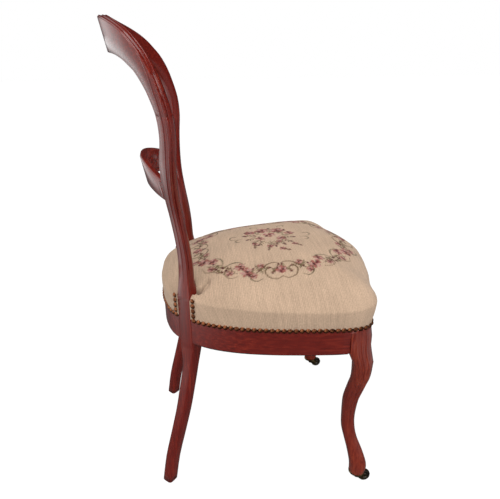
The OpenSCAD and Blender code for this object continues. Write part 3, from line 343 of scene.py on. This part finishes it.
def curve(points, u, closed):
    """The smooth curve through the points, u points from the first."""
    i = math.floor(u)
    f = u - i
    last = len(points) - 1
    a, b, c, d = [points[(i + k) % len(points)] if closed else points[min(max(i + k, 0), last)]
                  for k in (-1, 0, 1, 2)]
    return 0.5 * (2 * b + (c - a) * f + (2 * a - 5 * b + 4 * c - d) * f * f
                  + (3 * b - a - 3 * c + d) * f * f * f)


def outline_at(u):
    """A place on the seat's outline and the way out from it there."""
    along = (curve(outline, u + 0.01, True) - curve(outline, u - 0.01, True)).normalized()
    return curve(outline, u, True), Vector((along.y, -along.x))


def mix(a, b, f):
    """The value that is f of the way from a to b."""
    return a * (1 - f) + b * f


# Where the posts stand along the outline, and the width of a post's face
post_u = 2.42
post_face = 0.031
cover_t = 0.002
cover_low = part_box("seat_cover")[0].z
crown = Vector((0, seat_front + (0.036 + 0.488) * (seat_back - seat_front),
                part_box("seat_cover")[1].z))
shoulder_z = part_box("stuffing_pad")[0].z
free_z = 0.3901
swell = 0.011
swell_height = (crown.z - free_z) * 0.9
rise_power = 1.61
# How square the edge is from the middle of the back to the middle of the front (less is squarer),
# and how far the sides swell
edge_powers = ((0, 1.18), (2, 1.10), (4, 0.92), (6, 0.83), (7.7, 0.72), (8.6, 0.56), (9.5, 0.50),
               (12, 0.22))
swell_shares = ((0, 0.05), (4, 0.25), (6.5, 1.05), (7.7, 0.35), (12, 1.25))


def looked_up(table, u):
    """The value of a table of pairs at u."""
    for (a, low), (b, high) in zip(table, table[1:]):
        if u <= b:
            return mix(low, high, (u - a) / (b - a))
    return table[-1][1]


def dome_profile(u, inset, steps):
    """Points up one line of the cover, from the nails to just short of the crown."""
    edge, out = outline_at(u)
    post_gap = min((edge - curve(outline, post_u, True)).length,
                   (edge - curve(outline, turns - post_u, True)).length)
    loose = 1 - math.exp(-(post_gap / (post_face * 1.45)) ** 4)
    half_u = min(u, turns - u)
    power = looked_up(edge_powers, half_u)
    full = swell * looked_up(swell_shares, half_u) * loose
    points = []
    for i in range(steps):
        t = i / steps
        z = mix(cover_low, shoulder_z, min(1, t * 5))
        a = max(0, (t - 0.2) / 0.8) * math.pi / 2
        z += math.sin(a) ** rise_power * (crown.z - shoulder_z - inset)
        ring = math.cos(a) ** power
        bulge = full * math.sin(math.pi * min(max((z - free_z) / swell_height, 0), 1)) - inset
        spot = edge + out * bulge
        points.append(Vector((mix(crown.x, spot.x, ring), mix(crown.y, spot.y, ring), z)))
    points.append(Vector((crown.x, crown.y, crown.z - inset)))
    return points


def evened(points, count):
    """The same line with its points evenly apart, without its last one."""
    far = [0]
    for a, b in zip(points, points[1:]):
        far.append(far[-1] + (b - a).length)
    made, k = [], 0
    for i in range(count):
        want = far[-1] * i / count
        while far[k + 1] < want:
            k += 1
        made.append(points[k].lerp(points[k + 1], (want - far[k]) / (far[k + 1] - far[k])))
    return made


def dome(columns, rows, inset):
    """Rings of the cover from the nails up to just short of the crown."""
    steps = 160
    lines = [evened(dome_profile(j * turns / columns, inset, steps), rows) for j in range(columns)]
    return [[line[i] for line in lines] for i in range(rows)]


cover_columns = 480
cover_rows = 132
lining_share = 4
outer = dome(cover_columns, cover_rows, 0)
inner = dome(cover_columns // lining_share, cover_rows // lining_share, cover_t)
points = [p for ring in outer for p in ring] + [crown.copy()]
faces = []
n = cover_columns
for i in range(cover_rows - 1):
    for j in range(n):
        k = (j + 1) % n
        faces.append((i * n + j, (i + 1) * n + j, (i + 1) * n + k, i * n + k))
top_ring = (cover_rows - 1) * n
for j in range(n):
    faces.append((top_ring + j, cover_rows * n, top_ring + (j + 1) % n))
start = len(points)
m = n // lining_share
points += [p for ring in inner for p in ring] + [crown - Vector((0, 0, cover_t))]
inner_rows = len(inner)
for i in range(inner_rows - 1):
    for j in range(m):
        k = (j + 1) % m
        faces.append((start + i * m + j, start + i * m + k, start + (i + 1) * m + k,
                      start + (i + 1) * m + j))
for j in range(m):
    faces.append((start + (inner_rows - 1) * m + j, start + (inner_rows - 1) * m + (j + 1) % m,
                  start + inner_rows * m))
    rim = [(j * lining_share + k) % n for k in range(lining_share + 1)]
    faces.append((start + j, *rim, start + (j + 1) % m))
# The stuffing is a little uneven under the wool
post_spot = curve(outline, post_u, True)
for i in range(start):
    spot = points[i]
    own = Vector((-abs(spot.x), spot.y))
    clear = min(1, max(0, ((own - post_spot).length - 0.02) / 0.05))
    rise = min(1, max(0, (spot.z - free_z) / 0.03)) * clear * clear * (3 - 2 * clear)
    lump = noise.noise(spot * 16) * 0.0016 + noise.noise(spot * 45 + Vector((3, 1, 2))) * 0.0005
    away = Vector((spot.x - crown.x, spot.y - crown.y, 0.25 * swell_height)).normalized()
    points[i] = spot + away * lump * rise
# The wool is tucked down beside each post, in a fold that curls round in front of it
tuck_line = [Vector(p) * MM for p in ((-131, 112), (-135, 105), (-133, 98), (-126, 91), (-118, 88))]
tuck_depth = 0.0095
tuck_reach = 0.0085


def tuck_share(spot):
    """How much of the tuck's depth a place on the seat goes down by."""
    if spot.y < 0.07 or spot.z < 0.42:
        return 0
    own = Vector((-abs(spot.x), spot.y))
    far, along = min(((own - a.lerp(b, f / 4)).length, k + f / 4)
                     for k, (a, b) in enumerate(zip(tuck_line, tuck_line[1:])) for f in range(5))
    return max(0, 1 - (far / tuck_reach) ** 2) ** 2 * min(1, 1.35 - along / 4)


def tucked_down(spot):
    """A place on the seat, lowered by the tuck."""
    return spot - Vector((0, 0, tuck_depth * tuck_share(spot)))


tucked = {i: tuck_share(points[i]) for i in range(start) if tuck_share(points[i])}
points = [tucked_down(spot) for spot in points]
cover_mesh = bpy.data.meshes.new("needlework_cover")
cover_mesh.from_pydata(points, [], faces)
cover = linked("needlework_cover", cover_mesh)
face_out(cover)
bpy.ops.object.shade_smooth()
cover.data.materials.append(wool)
dyed = cover_mesh.color_attributes.new("wool", "FLOAT_COLOR", "POINT")
ground = Vector(colour("#caad93"))
shades = [ground.copy() for _ in cover_mesh.vertices]
reach = KDTree(len(shades))
for vertex in cover_mesh.vertices[:start]:
    if vertex.co.z > shoulder_z:
        reach.insert((vertex.co.x, vertex.co.y, 0), vertex.index)
reach.balance()
wool_colours = {"rose": "#a3635a", "blush": "#c4948a", "wine": "#6a3033", "plum": "#41201f",
                "olive": "#7c754e", "moss": "#565034", "sage": "#968b66", "bark": "#6a5438"}
wools = {name: Vector(colour(code)) for name, code in wool_colours.items()}
needle = random.Random(4)


def dab(x, y, radius, shade, cover=1.0):
    """A round patch of stitches in one wool, x across and y along the seat, in millimetres."""
    soft = 0.7
    for _, index, far in reach.find_range((x * MM, y * MM, 0), (radius + soft) * MM):
        share = cover * min(1, max(0, (radius + soft - far / MM) / (2 * soft)))
        shades[index] = shades[index].lerp(wools[shade], share)


def turned(x, y, angle, far):
    """The place that is far from x, y at an angle in degrees."""
    a = math.radians(angle)
    return x + far * math.cos(a), y + far * math.sin(a)


def stroke(points, width, shade, taper=0.5):
    """A line of stitches through the points, thinner at its ends."""
    points = [Vector(p) for p in points]
    steps = 2 + int(sum((b - a).length for a, b in zip(points, points[1:])))
    for i in range(steps + 1):
        f = i / steps
        spot = curve(points, f * (len(points) - 1) * 0.9999, False)
        dab(spot.x, spot.y, width / 2 * (1 - taper * abs(2 * f - 1)), shade)


def rose(x, y, size):
    """A full rose: loose outer petals of two pinks with dark folds between, round a dark heart."""
    start_angle = needle.uniform(0, 360)
    for ring, count, petal, tones in ((0.78, 7, 0.26, ("rose", "blush", "rose", "wine")),
                                      (0.45, 5, 0.24, ("rose", "blush", "wine")),
                                      (0.15, 3, 0.2, ("wine", "rose", "plum"))):
        for i in range(count):
            angle = start_angle + 360 * i / count + needle.uniform(-14, 14)
            spot = turned(x, y, angle, size * ring * needle.uniform(0.85, 1.1))
            dab(*spot, size * petal, tones[i % len(tones)])
            dab(*turned(*spot, angle + 100, size * petal), size * 0.09, "plum", 0.7)


def leaf(x, y, angle, length, shade="olive", vein="moss"):
    """A pointed leaf that starts at x, y."""
    for i in range(6):
        f = i / 5
        half_width = length * 0.15 * math.sin(math.pi * (0.15 + 0.78 * f))
        dab(*turned(x, y, angle, length * f), half_width, shade)
    stroke([(x, y), turned(x, y, angle, length * 0.8)], 0.9, vein)


def sprig(x, y, angle, length, shades_used=("olive", "wine", "sage", "moss")):
    """A stem with small leaves and buds on both sides."""
    tip = turned(x, y, angle, length)
    bend = turned(*turned(x, y, angle, length / 2), angle + 90,
                  length * needle.uniform(-0.15, 0.15))
    stroke([(x, y), bend, tip], 1.1, "moss")
    for k in range(3):
        base = turned(x, y, angle, length * (0.25 + 0.25 * k))
        for side in (-1, 1):
            leaf(*base, angle + side * needle.uniform(35, 65), length * needle.uniform(0.24, 0.36),
                 needle.choice(shades_used), "bark")
    dab(*tip, length * 0.11, "wine")
    dab(*turned(*tip, angle, length * 0.1), length * 0.07, "plum")


def scroll(x, y, radius, start_angle, sweep, end, width, shade="bark"):
    """A curl: part of a spiral about x, y whose radius shrinks to end times itself."""
    steps = 2 + int(abs(sweep) / 20)
    stroke([turned(x, y, start_angle + sweep * i / steps, radius * (1 - (1 - end) * i / steps))
            for i in range(steps + 1)], width, shade, taper=0.6)


# The bouquet in the middle: sprigs all round, large roses on the chair's right, small ones with
# sprigs on its left, and a few curls
mid_x, mid_y = 2, -48
for angle in range(0, 360, 24):
    x, y = turned(mid_x, mid_y, angle, 22)
    sprig(x, y, angle + needle.uniform(-14, 14), 27 if 80 < angle < 280 else 32)
for x, y, size in ((34, -8, 13), (44, -36, 15), (42, -68, 14), (16, -48, 13), (-6, -70, 11),
                   (22, -92, 10), (-4, -26, 10)):
    rose(x, y, size)
for x, y in ((-46, -40), (-60, -64), (-40, -92), (-24, -62), (-34, -12)):
    rose(x, y, 7)
    sprig(x, y, needle.uniform(150, 240), 15, ("wine", "moss", "wine"))
for x, y, r, turn, sweep in ((16, 26, 14, 200, -250), (-8, 18, 11, 330, 230),
                             (14, -124, 14, 160, 250), (-14, -118, 12, 30, -230),
                             (68, -18, 11, 250, 230), (68, -84, 11, 110, -230)):
    scroll(x, y, r, turn, sweep, 0.3, 2.2, "moss")

# The garland round it: half its width and depth, and how square it is
garland_half_x, garland_half_y, garland_power = 127, 152, 2.4


def on_ellipse(degrees):
    """A place on the garland's line."""
    c, d = -math.cos(math.radians(degrees)), -math.sin(math.radians(degrees))
    bend = 2 / garland_power
    return Vector((math.copysign(abs(c) ** bend, c) * garland_half_x,
                   math.copysign(abs(d) ** bend, d) * garland_half_y + mid_y))


garland = [on_ellipse(i) for i in range(361)]
lengths = [0]
for a, b in zip(garland, garland[1:]):
    lengths.append(lengths[-1] + (b - a).length)


def on_garland(s, out):
    """A place s millimetres along the garland from the middle of the left side, and its way."""
    s %= lengths[-1]
    k = next(i for i in range(360) if lengths[i + 1] >= s)
    a, b = garland[k], garland[k + 1]
    along = (b - a).normalized()
    spot = a.lerp(b, (s - lengths[k]) / (lengths[k + 1] - lengths[k]))
    return spot - Vector((-along.y, along.x)) * out, along


def garland_half(middle, way):
    """Half of one side's scrolls and flowers, from its middle outwards, way -1 or 1."""
    def at(s, out):
        return tuple(on_garland(middle + way * s, out * 1.25)[0])

    def line(points, width, shade="bark"):
        stroke([at(*p) for p in points], width, shade, taper=0.6)

    line([(0, 14), (10, 18), (24, 14), (30, 2), (22, -6), (14, 0), (19, 6)], 2.6)
    line([(2, -14), (12, -17), (26, -13), (38, -2), (50, 6), (60, 4)], 2.6)
    line([(36, 16), (44, 20), (54, 16), (57, 8), (50, 4)], 2.2, "moss")
    line([(78, 12), (90, 16), (102, 10), (104, 0), (97, -3), (93, 3)], 2.3)
    line([(74, -14), (88, -18), (104, -12), (112, 0)], 2.2, "moss")
    along = on_garland(middle + way * 66, 0)[1] * way
    base = math.degrees(math.atan2(along.y, along.x))
    for s, out, angle, length in ((42, -6, 170, 14), (58, 12, 100, 15), (80, 6, 20, 17),
                                  (72, -16, -40, 15), (50, -14, -120, 13), (92, -4, 10, 15),
                                  (34, 6, 60, 12), (8, 2, 90, 13), (10, -6, -80, 12),
                                  (104, 10, 40, 12)):
        sprig(*at(s, out), base + way * angle, length * 1.4)
    for s, out, size in ((64, 2, 12), (80, -8, 10), (50, 10, 7), (2, 0, 10), (38, -11, 7),
                         (94, 7, 7)):
        rose(*at(s, out), size)


quarter = lengths[-1] / 4
for k in range(4):
    for way in (-1, 1):
        garland_half(k * quarter, way)
# Painted shade: the wool is darkened in the folds beside the posts, where the shadow falls
for i, depth in tucked.items():
    shades[i] = shades[i] * (1 - 0.6 * depth)
for spot, shade in zip(dyed.data, shades):
    spot.color = shade
# The canvas lies flat on top and hangs straight down the sides
canvas = cover_mesh.uv_layers.new(name="canvas")
fold_z = shoulder_z + 0.012
column_out = [outline_at(j * turns / n)[1] for j in range(n)]
for loop in cover_mesh.loops:
    p = cover_mesh.vertices[loop.vertex_index].co
    drop = max(0, fold_z - p.z) if loop.vertex_index < start else 0
    away = column_out[loop.vertex_index % n]
    canvas.data[loop.index].uv = (p.x + away.x * drop, p.y + away.y * drop)
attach(cover, "chair")
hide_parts("seat_cover")


def new_object(name, points, faces, material):
    """A smooth object made of points and faces that rides on the chair, its faces turned out."""
    mesh = bpy.data.meshes.new(name)
    mesh.from_pydata(points, [], faces)
    made = linked(name, mesh)
    face_out(made)
    bpy.ops.object.shade_smooth()
    mesh.materials.append(material)
    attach(made, "chair")
    return made


# The stuffing under the wool, set in from the cover's face
pad_columns, pad_rows, pad_steps = 120, 36, 200
pad_inset = 0.0045
pad_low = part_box("stuffing_pad")[0].z
lines = []
for j in range(pad_columns):
    profile = dome_profile(j * turns / pad_columns, pad_inset, pad_steps)
    lines.append(evened([p for p in profile if p.z >= pad_low], pad_rows))
points = [tucked_down(line[i]) for i in range(pad_rows) for line in lines]
for point in points[:pad_columns]:
    point.z = pad_low
faces = [tuple(reversed(range(pad_columns))),
         tuple(range((pad_rows - 1) * pad_columns, pad_rows * pad_columns))]
for i in range(pad_rows - 1):
    for j in range(pad_columns):
        a, b = i * pad_columns + j, i * pad_columns + (j + 1) % pad_columns
        faces.append((a, b, b + pad_columns, a + pad_columns))
pad = new_object("hair_stuffing", points, faces, hair)
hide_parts("stuffing_pad")

# Cloth sheets: the lining under the seat hangs 4 mm in its middle, the hessian under the stuffing
# is flat
square = 0.014


def slack_sheet(node, name, material, thick, slack):
    """A sheet with the outline of a node, cut into squares and moved up or down in its middle."""
    cloth = bmesh.new()
    cloth.from_mesh(nodes[node].data)
    bmesh.ops.delete(cloth, geom=[f for f in cloth.faces if f.normal.z > -0.9], context="FACES")
    bmesh.ops.remove_doubles(cloth, verts=cloth.verts, dist=same_spot)
    bmesh.ops.dissolve_limit(cloth, angle_limit=0.02, verts=cloth.verts, edges=cloth.edges)
    bmesh.ops.triangulate(cloth, faces=cloth.faces)
    low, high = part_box(node)
    for axis in (0, 1):
        way = Vector((1, 0, 0)) if axis == 0 else Vector((0, 1, 0))
        count = int((high[axis] - low[axis]) / square)
        for i in range(1, count):
            cut = way * mix(low[axis], high[axis], i / count)
            bmesh.ops.bisect_plane(cloth, geom=cloth.verts[:] + cloth.edges[:] + cloth.faces[:],
                                   plane_co=cut, plane_no=way)
    middle = (low + high) / 2
    for v in cloth.verts:
        x, y = ((v.co[i] - middle[i]) / (high[i] - low[i]) * 2 for i in (0, 1))
        v.co.z += slack * max(0, 1 - x * x / 0.85) * max(0, 1 - y * y / 0.85)
    area = sum(f.calc_area() for f in cloth.faces)
    mesh = bpy.data.meshes.new(name)
    cloth.to_mesh(mesh)
    cloth.free()
    sheet = linked(name, mesh)
    only(sheet)
    thickness = sheet.modifiers.new("thickness", "SOLIDIFY")
    thickness.thickness = thick
    thickness.offset = 1 if slack > 0 else -1
    bpy.ops.object.modifier_apply(modifier="thickness")
    bpy.ops.object.shade_smooth_by_angle(angle=math.radians(metal_sharp_degrees))
    mesh.materials.append(material)
    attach(sheet, "chair")
    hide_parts(node)
    return sheet, area


for node, name, material, thick, slack, rests in (
        ("dust_cover", "lining_under_seat", lining, 0.0006, -0.004,
         ["left_side_rail", "right_side_rail"]),
        ("hessian_sheet", "hessian_over_springs", hessian, 0.0009, 0.0, ["spring_twine"])):
    sheet, area = slack_sheet(node, name, material, thick, slack)

# One more nail at the top of each upright row beside the posts
nail_pitch = 0.0104
above_the_rows = 0.4
spare = bmesh.new()
for node in ("left_side_nails", "right_side_nails", "back_nails"):
    rows = bmesh.new()
    rows.from_mesh(nodes[node].data)
    bmesh.ops.remove_doubles(rows, verts=rows.verts, dist=same_spot)
    # Each nail is all the points that edges join, taken in the mesh's own order, so that every run
    # gives the same mesh
    found, nails = set(), []
    for first in rows.verts:
        if first in found:
            continue
        found.add(first)
        nail = [first]
        for point in nail:
            for edge in point.link_edges:
                for end in edge.verts:
                    if end not in found:
                        found.add(end)
                        nail.append(end)
        nails.append(nail)
    tops = {}
    for nail in nails:
        middle = sum((v.co for v in nail), Vector()) / len(nail)
        side = middle.x > 0
        if middle.z > tops.get(side, (0,))[0]:
            tops[side] = (middle.z, nail)
    for height, nail in tops.values():
        if height > above_the_rows:
            moved = {v: spare.verts.new(v.co + Vector((0, 0, nail_pitch))) for v in nail}
            for face in dict.fromkeys(f for v in nail for f in v.link_faces):
                spare.faces.new([moved[v] for v in face.verts])
    rows.free()
mesh = bpy.data.meshes.new("top_nails")
spare.to_mesh(mesh)
spare.free()
top_nails = linked("top_nails", mesh)
mesh.materials.append(nail_brass)
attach(top_nails, "chair")

# ---------------------------------------------------------------- mouldings and carving
def surface(*names):
    """The faces of some nodes, to cast rays on."""
    points, faces = [], []
    for name in names:
        first = len(points)
        points += [v.co.copy() for v in nodes[name].data.vertices]
        faces += [tuple(first + i for i in f.vertices) for f in nodes[name].data.polygons]
    return BVHTree.FromPolygons(points, faces)


def strip_edges(faces, stations, low, high, deep=0.012):
    """For each station, a start and a way, where the face that the rays meet begins and ends
    along Y. The edges are evened over their neighbours."""
    found = []
    for start, way in stations:
        hits = []
        for i in range(int((high - low) / MM)):
            y = low + i * MM
            spot, normal, _, far = faces.ray_cast(Vector((start.x, y, start.z)), way)
            if spot and normal.dot(way) < -0.45:
                hits.append((far, y))
        near = min(far for far, _ in hits)
        ys = [y for far, y in hits if far < near + deep]
        found.append((min(ys), max(ys)))
    evened_out = []
    for i in range(len(found)):
        part = found[max(0, i - 3):i + 4]
        evened_out.append([sum(pair[k] for pair in part) / len(part) for k in (0, 1)])
    return evened_out


def bead_mesh(path, normals, radii, sides=8, sunk=0.35):
    """A round bead laid along a path on a surface and sunk in it by a share of its radius."""
    points, faces = [], []
    for i, (spot, normal, radius) in enumerate(zip(path, normals, radii)):
        along = (path[min(i + 1, len(path) - 1)] - path[max(i - 1, 0)]).normalized()
        across = along.cross(normal).normalized()
        up = across.cross(along).normalized()
        middle = spot - up * radius * sunk
        for k in range(sides):
            a = math.tau * k / sides
            points.append(middle + across * radius * math.cos(a) + up * radius * math.sin(a))
    for i in range(len(path) - 1):
        for k in range(sides):
            a, b = i * sides + k, i * sides + (k + 1) % sides
            faces.append((a, b, b + sides, a + sides))
    faces.append(tuple(reversed(range(sides))))
    faces.append(tuple(range((len(path) - 1) * sides, len(path) * sides)))
    return points, faces


def beads(name, runs, material):
    """One object of many beads, each a path, its normals and its radii, with its mirror image."""
    points, faces = [], []
    for path, normals, radii in runs:
        for flip in (1, -1):
            turned_path = [Vector((flip * p.x, p.y, p.z)) for p in path]
            turned_normals = [Vector((flip * p.x, p.y, p.z)) for p in normals]
            more, sides = bead_mesh(turned_path, turned_normals, radii)
            faces += [tuple(len(points) + i for i in f) for f in sides]
            points += more
    return new_object(name, points, faces, material)


def run_along(faces, stations, edges, share, radius, taper=6):
    """A bead at a share of the way across a face from its front edge."""
    path, normals = [], []
    for (start, way), (low, high) in zip(stations, edges):
        spot, normal, _, _ = faces.ray_cast(Vector((start.x, mix(low, high, share), start.z)), way)
        path.append(spot)
        normals.append(normal if normal.dot(way) < 0 else -normal)
    count = len(path)
    for _ in range(3):
        between = [(a + 2 * b + c) / 4 for a, b, c in zip(path, path[1:], path[2:])]
        path = [path[0]] + between + [path[-1]]
    smooth_normals = [sum((normals[k] for k in range(max(0, i - 2), min(count, i + 3))), Vector())
                      .normalized() for i in range(count)]
    radii = [radius * min(1, (i + 1) / taper, (count - i) / taper) for i in range(count)]
    return path, smooth_normals, radii


# Three reeds run up the outer face of each post from the seat and over the hoop
hoop_faces = surface("left_back_post", "crest_rail")
hoop_middle_z = 0.72
outside = 0.4
stations = [(Vector((-outside, 0, z * MM)), Vector((1, 0, 0))) for z in range(456, 748, 7)]
for degrees in range(8, 91, 2):
    a = math.radians(degrees)
    way = Vector((math.cos(a), 0, -math.sin(a)))
    stations.append((Vector((0, 0, hoop_middle_z)) - way * outside, way))
edges = strip_edges(hoop_faces, stations, 0.08, 0.27)
reeds = [run_along(hoop_faces, stations, edges, 0.82, 0.0021),
         run_along(hoop_faces, stations, edges, 0.48, 0.0016),
         run_along(hoop_faces, stations, edges, 0.16, 0.0019)]
reeds = [(path, normals, radii[:-8] + [radii[10]] * 8) for path, normals, radii in reeds]
beads("hoop_reeds", reeds, mahogany_up)

# Old glue fills the joints between the posts and the crest rail
crest_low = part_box("crest_rail")[0].z
glue_fill = bmesh.new()
glue_fill.from_mesh(nodes["crest_rail"].data)
bmesh.ops.remove_doubles(glue_fill, verts=glue_fill.verts, dist=same_spot)
bmesh.ops.delete(glue_fill, context="FACES", geom=[
    f for f in glue_fill.faces if f.normal.z > -0.6 or f.calc_center_median().z > crest_low + 0.03])
for side in (-1, 1):
    end_faces = [f for f in glue_fill.faces if f.calc_center_median().x * side > 0]
    down = sum((f.normal * f.calc_area() for f in end_faces), Vector()).normalized()
    ends = dict.fromkeys(v for f in end_faces for v in f.verts)
    middle = sum((v.co for v in ends), Vector()) / len(ends)
    for v in ends:
        v.co = middle + (v.co - middle) * 0.992
    grown = bmesh.ops.extrude_face_region(glue_fill, geom=end_faces)
    bmesh.ops.translate(glue_fill, vec=down * 0.00028,
                        verts=[v for v in grown["geom"] if isinstance(v, bmesh.types.BMVert)])
# The extruded faces and edges come in no fixed order, so they are sorted by where they are
for parts, place in ((glue_fill.faces, lambda f: tuple(f.calc_center_median())),
                     (glue_fill.edges, lambda e: tuple(e.verts[0].co + e.verts[1].co))):
    rank = {part: i for i, part in enumerate(sorted(parts, key=place))}
    parts.sort(key=lambda part: rank[part])
mesh = bpy.data.meshes.new("crest_glue_lines")
glue_fill.to_mesh(mesh)
glue_fill.free()
glue_lines = linked("crest_glue_lines", mesh)
mesh.materials.append(old_glue)
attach(glue_lines, "chair")

# Flutes on the cabriole legs: carved ridges from the knee to the ankle
leg_faces = surface("left_front_leg")
stations = [(Vector((-outside, 0, z * MM)), Vector((1, 0, 0))) for z in range(398, 150, -5)]
edges = strip_edges(leg_faces, stations, -0.26, -0.12)
beads("knee_flutes", [run_along(leg_faces, stations, edges, 0.26, 0.0027, 12),
                      run_along(leg_faces, stations, edges, 0.50, 0.0021, 12),
                      run_along(leg_faces, stations, edges, 0.76, 0.0027, 12)],
      mahogany_painted_lit)

# Scrolls and leaves carved on the front of the mid rail
mid_faces = surface("mid_rail")
mid_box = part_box("mid_rail")
mid_z = (mid_box[0].z + mid_box[1].z) / 2


def carved(points, radius, ends=0.35):
    """A ridge through points of the rail's front face, (x, height) in millimetres."""
    points = [Vector(p) for p in points]
    steps = 2 + int(sum((b - a).length for a, b in zip(points, points[1:])) / 1.6)
    path, normals, radii = [], [], []
    for i in range(steps + 1):
        f = i / steps
        flat = curve(points, f * (len(points) - 1) * 0.9999, False)
        spot, normal, _, _ = mid_faces.ray_cast(Vector((flat.x * MM, 0, mid_z + flat.y * MM)),
                                                Vector((0, 1, 0)))
        if spot:
            path.append(spot)
            normals.append(normal if normal.y < 0 else -normal)
            radii.append(radius * MM * (1 - (1 - ends) * abs(2 * f - 1) ** 2))
    return path, normals, radii


def curl(x, y, radius, start_angle, sweep, end=0.2):
    """Points of a spiral about x, y whose radius shrinks to end times itself."""
    steps = 3 + int(abs(sweep) / 25)
    return [turned(x, y, start_angle + sweep * i / steps, radius * (1 - (1 - end) * i / steps))
            for i in range(steps + 1)]


carving = [carved(curl(72, 2, 14, 190, -520), 2.6), carved(curl(104, -6, 10, 170, -480), 2.2),
           carved([(4, -16), (18, -18), (36, -13), (56, -14), (72, -13)], 2.4),
           carved([(6, 20), (20, 18), (34, 10), (46, 4), (57, 6)], 2.4),
           carved([(84, 8), (92, 6), (98, 4)], 2.0), carved([(72, -13), (86, -14), (98, -15)], 2.0)]
for angle, length in ((12, 27), (34, 30), (58, 26), (-20, 24), (-46, 21)):
    petal = [(2, 0), turned(2, 0, angle, length / 2), turned(2, 0, angle, length)]
    carving.append(carved(petal, 2.8))
for x, y, angle, length in ((38, -4, 20, 14), (40, -6, -20, 13), (52, 14, 60, 7), (88, -2, -50, 9)):
    carving.append(carved([(x, y), turned(x, y, angle, length)], 2.2))
beads("mid_rail_carving", carving, mahogany_across)

# ---------------------------------------------------------------- camera, found from the photograph
# The photograph is 500 pixels wide; the lens, place and angles were solved from the feet, castors,
# seat corners and joints
sensor_mm = 36
view_width_px = 500
focal_px = 463.5
camera_place = Vector((-0.8940, 0.1037, 0.8313))
camera_yaw = math.radians(6.940)
camera_pitch = math.radians(22.414)
camera_roll = math.radians(-0.509)
sight = Vector((math.cos(camera_yaw) * math.cos(camera_pitch),
                -math.sin(camera_yaw) * math.cos(camera_pitch), -math.sin(camera_pitch)))
level = sight.cross(Vector((0, 0, 1))).normalized()
above = level.cross(sight)
right = math.cos(camera_roll) * level + math.sin(camera_roll) * above
top = -math.sin(camera_roll) * level + math.cos(camera_roll) * above
lens = bpy.data.cameras.new("camera")
lens.sensor_width = sensor_mm
lens.lens = focal_px * sensor_mm / view_width_px
camera = linked("camera", lens)
camera_axes = Matrix((right, top, -sight)).transposed().to_4x4()
camera.matrix_world = Matrix.Translation(camera_place) @ camera_axes
bpy.context.scene.camera = camera

# ---------------------------------------------------------------- floor, light and backdrop
bpy.ops.object.select_all(action="DESELECT")
bpy.ops.mesh.primitive_plane_add(size=40, location=(0, 0, 0))
floor = bpy.context.object
floor.name = "floor"


def seen_rays(tree):
    """1 for what the camera, gloss and glass see, with 1 for what the camera alone sees."""
    path = add(tree, "LightPath").outputs
    gloss = add(tree, "Math", {0: path["Is Glossy Ray"], 1: path["Is Transmission Ray"]},
                operation="MAXIMUM")
    both = add(tree, "Math", {0: path["Is Camera Ray"], 1: gloss.outputs[0]}, operation="MAXIMUM")
    return both.outputs[0], path["Is Camera Ray"]


def studio_white(tree, along, low, high, near, far, white=1.0):
    """White to the camera. In gloss it fades from the bright side of the room to the dim side, and
    a window in front of the chair, on its left, shines from near to far along its way."""
    toward = add(tree, "VectorMath", {0: along, 1: (-0.3, 0.95, 0)}, operation="DOT_PRODUCT")
    fade = add(tree, "MapRange", {"Value": toward.outputs["Value"], "From Min": low,
                                  "From Max": high, "To Min": 0.03, "To Max": 1.7},
               interpolation_type="SMOOTHSTEP")
    out = add(tree, "VectorMath", {0: along, 1: (-0.42, -0.9, 0)}, operation="DOT_PRODUCT")
    window = add(tree, "MapRange", {"Value": out.outputs["Value"], "From Min": near,
                                    "From Max": far, "To Max": 0.4},
                 interpolation_type="SMOOTHSTEP")
    lit = add(tree, "Math", {0: fade.outputs[0], 1: window.outputs[0]}, operation="MAXIMUM")
    seen, camera_ray = seen_rays(tree)
    strength = add(tree, "Mix", {0: camera_ray, 2: lit.outputs[0], 3: white})
    return strength.outputs[0], seen


# The floor glows instead of only being lit: evenly white to the camera, and in gloss a painted room
# light on it, bright behind the chair and dim on the camera's side, with a painted window band in
# front
made, tree = new_material("white_paper_glowing_with_painted_light")
strength, seen = studio_white(tree, add(tree, "TexCoord").outputs["Object"],
                              0.4, 1.2, 0.5, 0.8, 1.12)
paper = add(tree, "BsdfDiffuse", {"Color": (0.9, 0.9, 0.9, 1)})
glow = add(tree, "Emission", {"Color": (1, 1, 1, 1), "Strength": strength})
glow_share = add(tree, "Math", {0: seen, 1: 0.86}, operation="MULTIPLY")
floor_shader = add(tree, "MixShader", {0: glow_share.outputs[0], 1: paper.outputs[0],
                                       2: glow.outputs[0]})
floor.data.materials.append(finish_material(made, tree, floor_shader))


def soft_light(name, place, aim, size, power):
    """A square soft light at place that looks at aim."""
    lamp = bpy.data.lights.new(name, "AREA")
    lamp.size = size
    lamp.energy = power
    holder = linked(name, lamp)
    holder.location = place
    holder.rotation_euler = (Vector(aim) - Vector(place)).to_track_quat("-Z", "Y").to_euler()


soft_light("light_over", (-0.5, 0.5, 2.6), (0, 0, 0.4), 1.6, 28)
soft_light("light_front", (-1.7, -1.5, 1.9), (0, 0, 0.4), 1.0, 12)

world = bpy.data.worlds.new("studio")
bpy.context.scene.world = world
world.use_nodes = True
world.node_tree.nodes.clear()
tree = world.node_tree
strength, seen = studio_white(tree, add(tree, "TexCoord").outputs["Generated"],
                              0.0, 0.5, 0.78, 0.96)
spot = add(tree, "SeparateXYZ", {"Vector": add(tree, "TexCoord").outputs["Generated"]})
fill = add(tree, "MapRange", {"Value": spot.outputs["X"], "From Min": 0.3, "From Max": -1,
                              "To Min": 0.34, "To Max": 0.86})
strength = add(tree, "Mix", {0: seen, 2: fill.outputs[0], 3: strength})
sky = add(tree, "Background", {"Color": (1, 1, 1, 1), "Strength": strength.outputs[0]})
add(tree, "OutputWorld", {"Surface": sky.outputs[0]})

bpy.context.scene.view_settings.view_transform = "Standard"
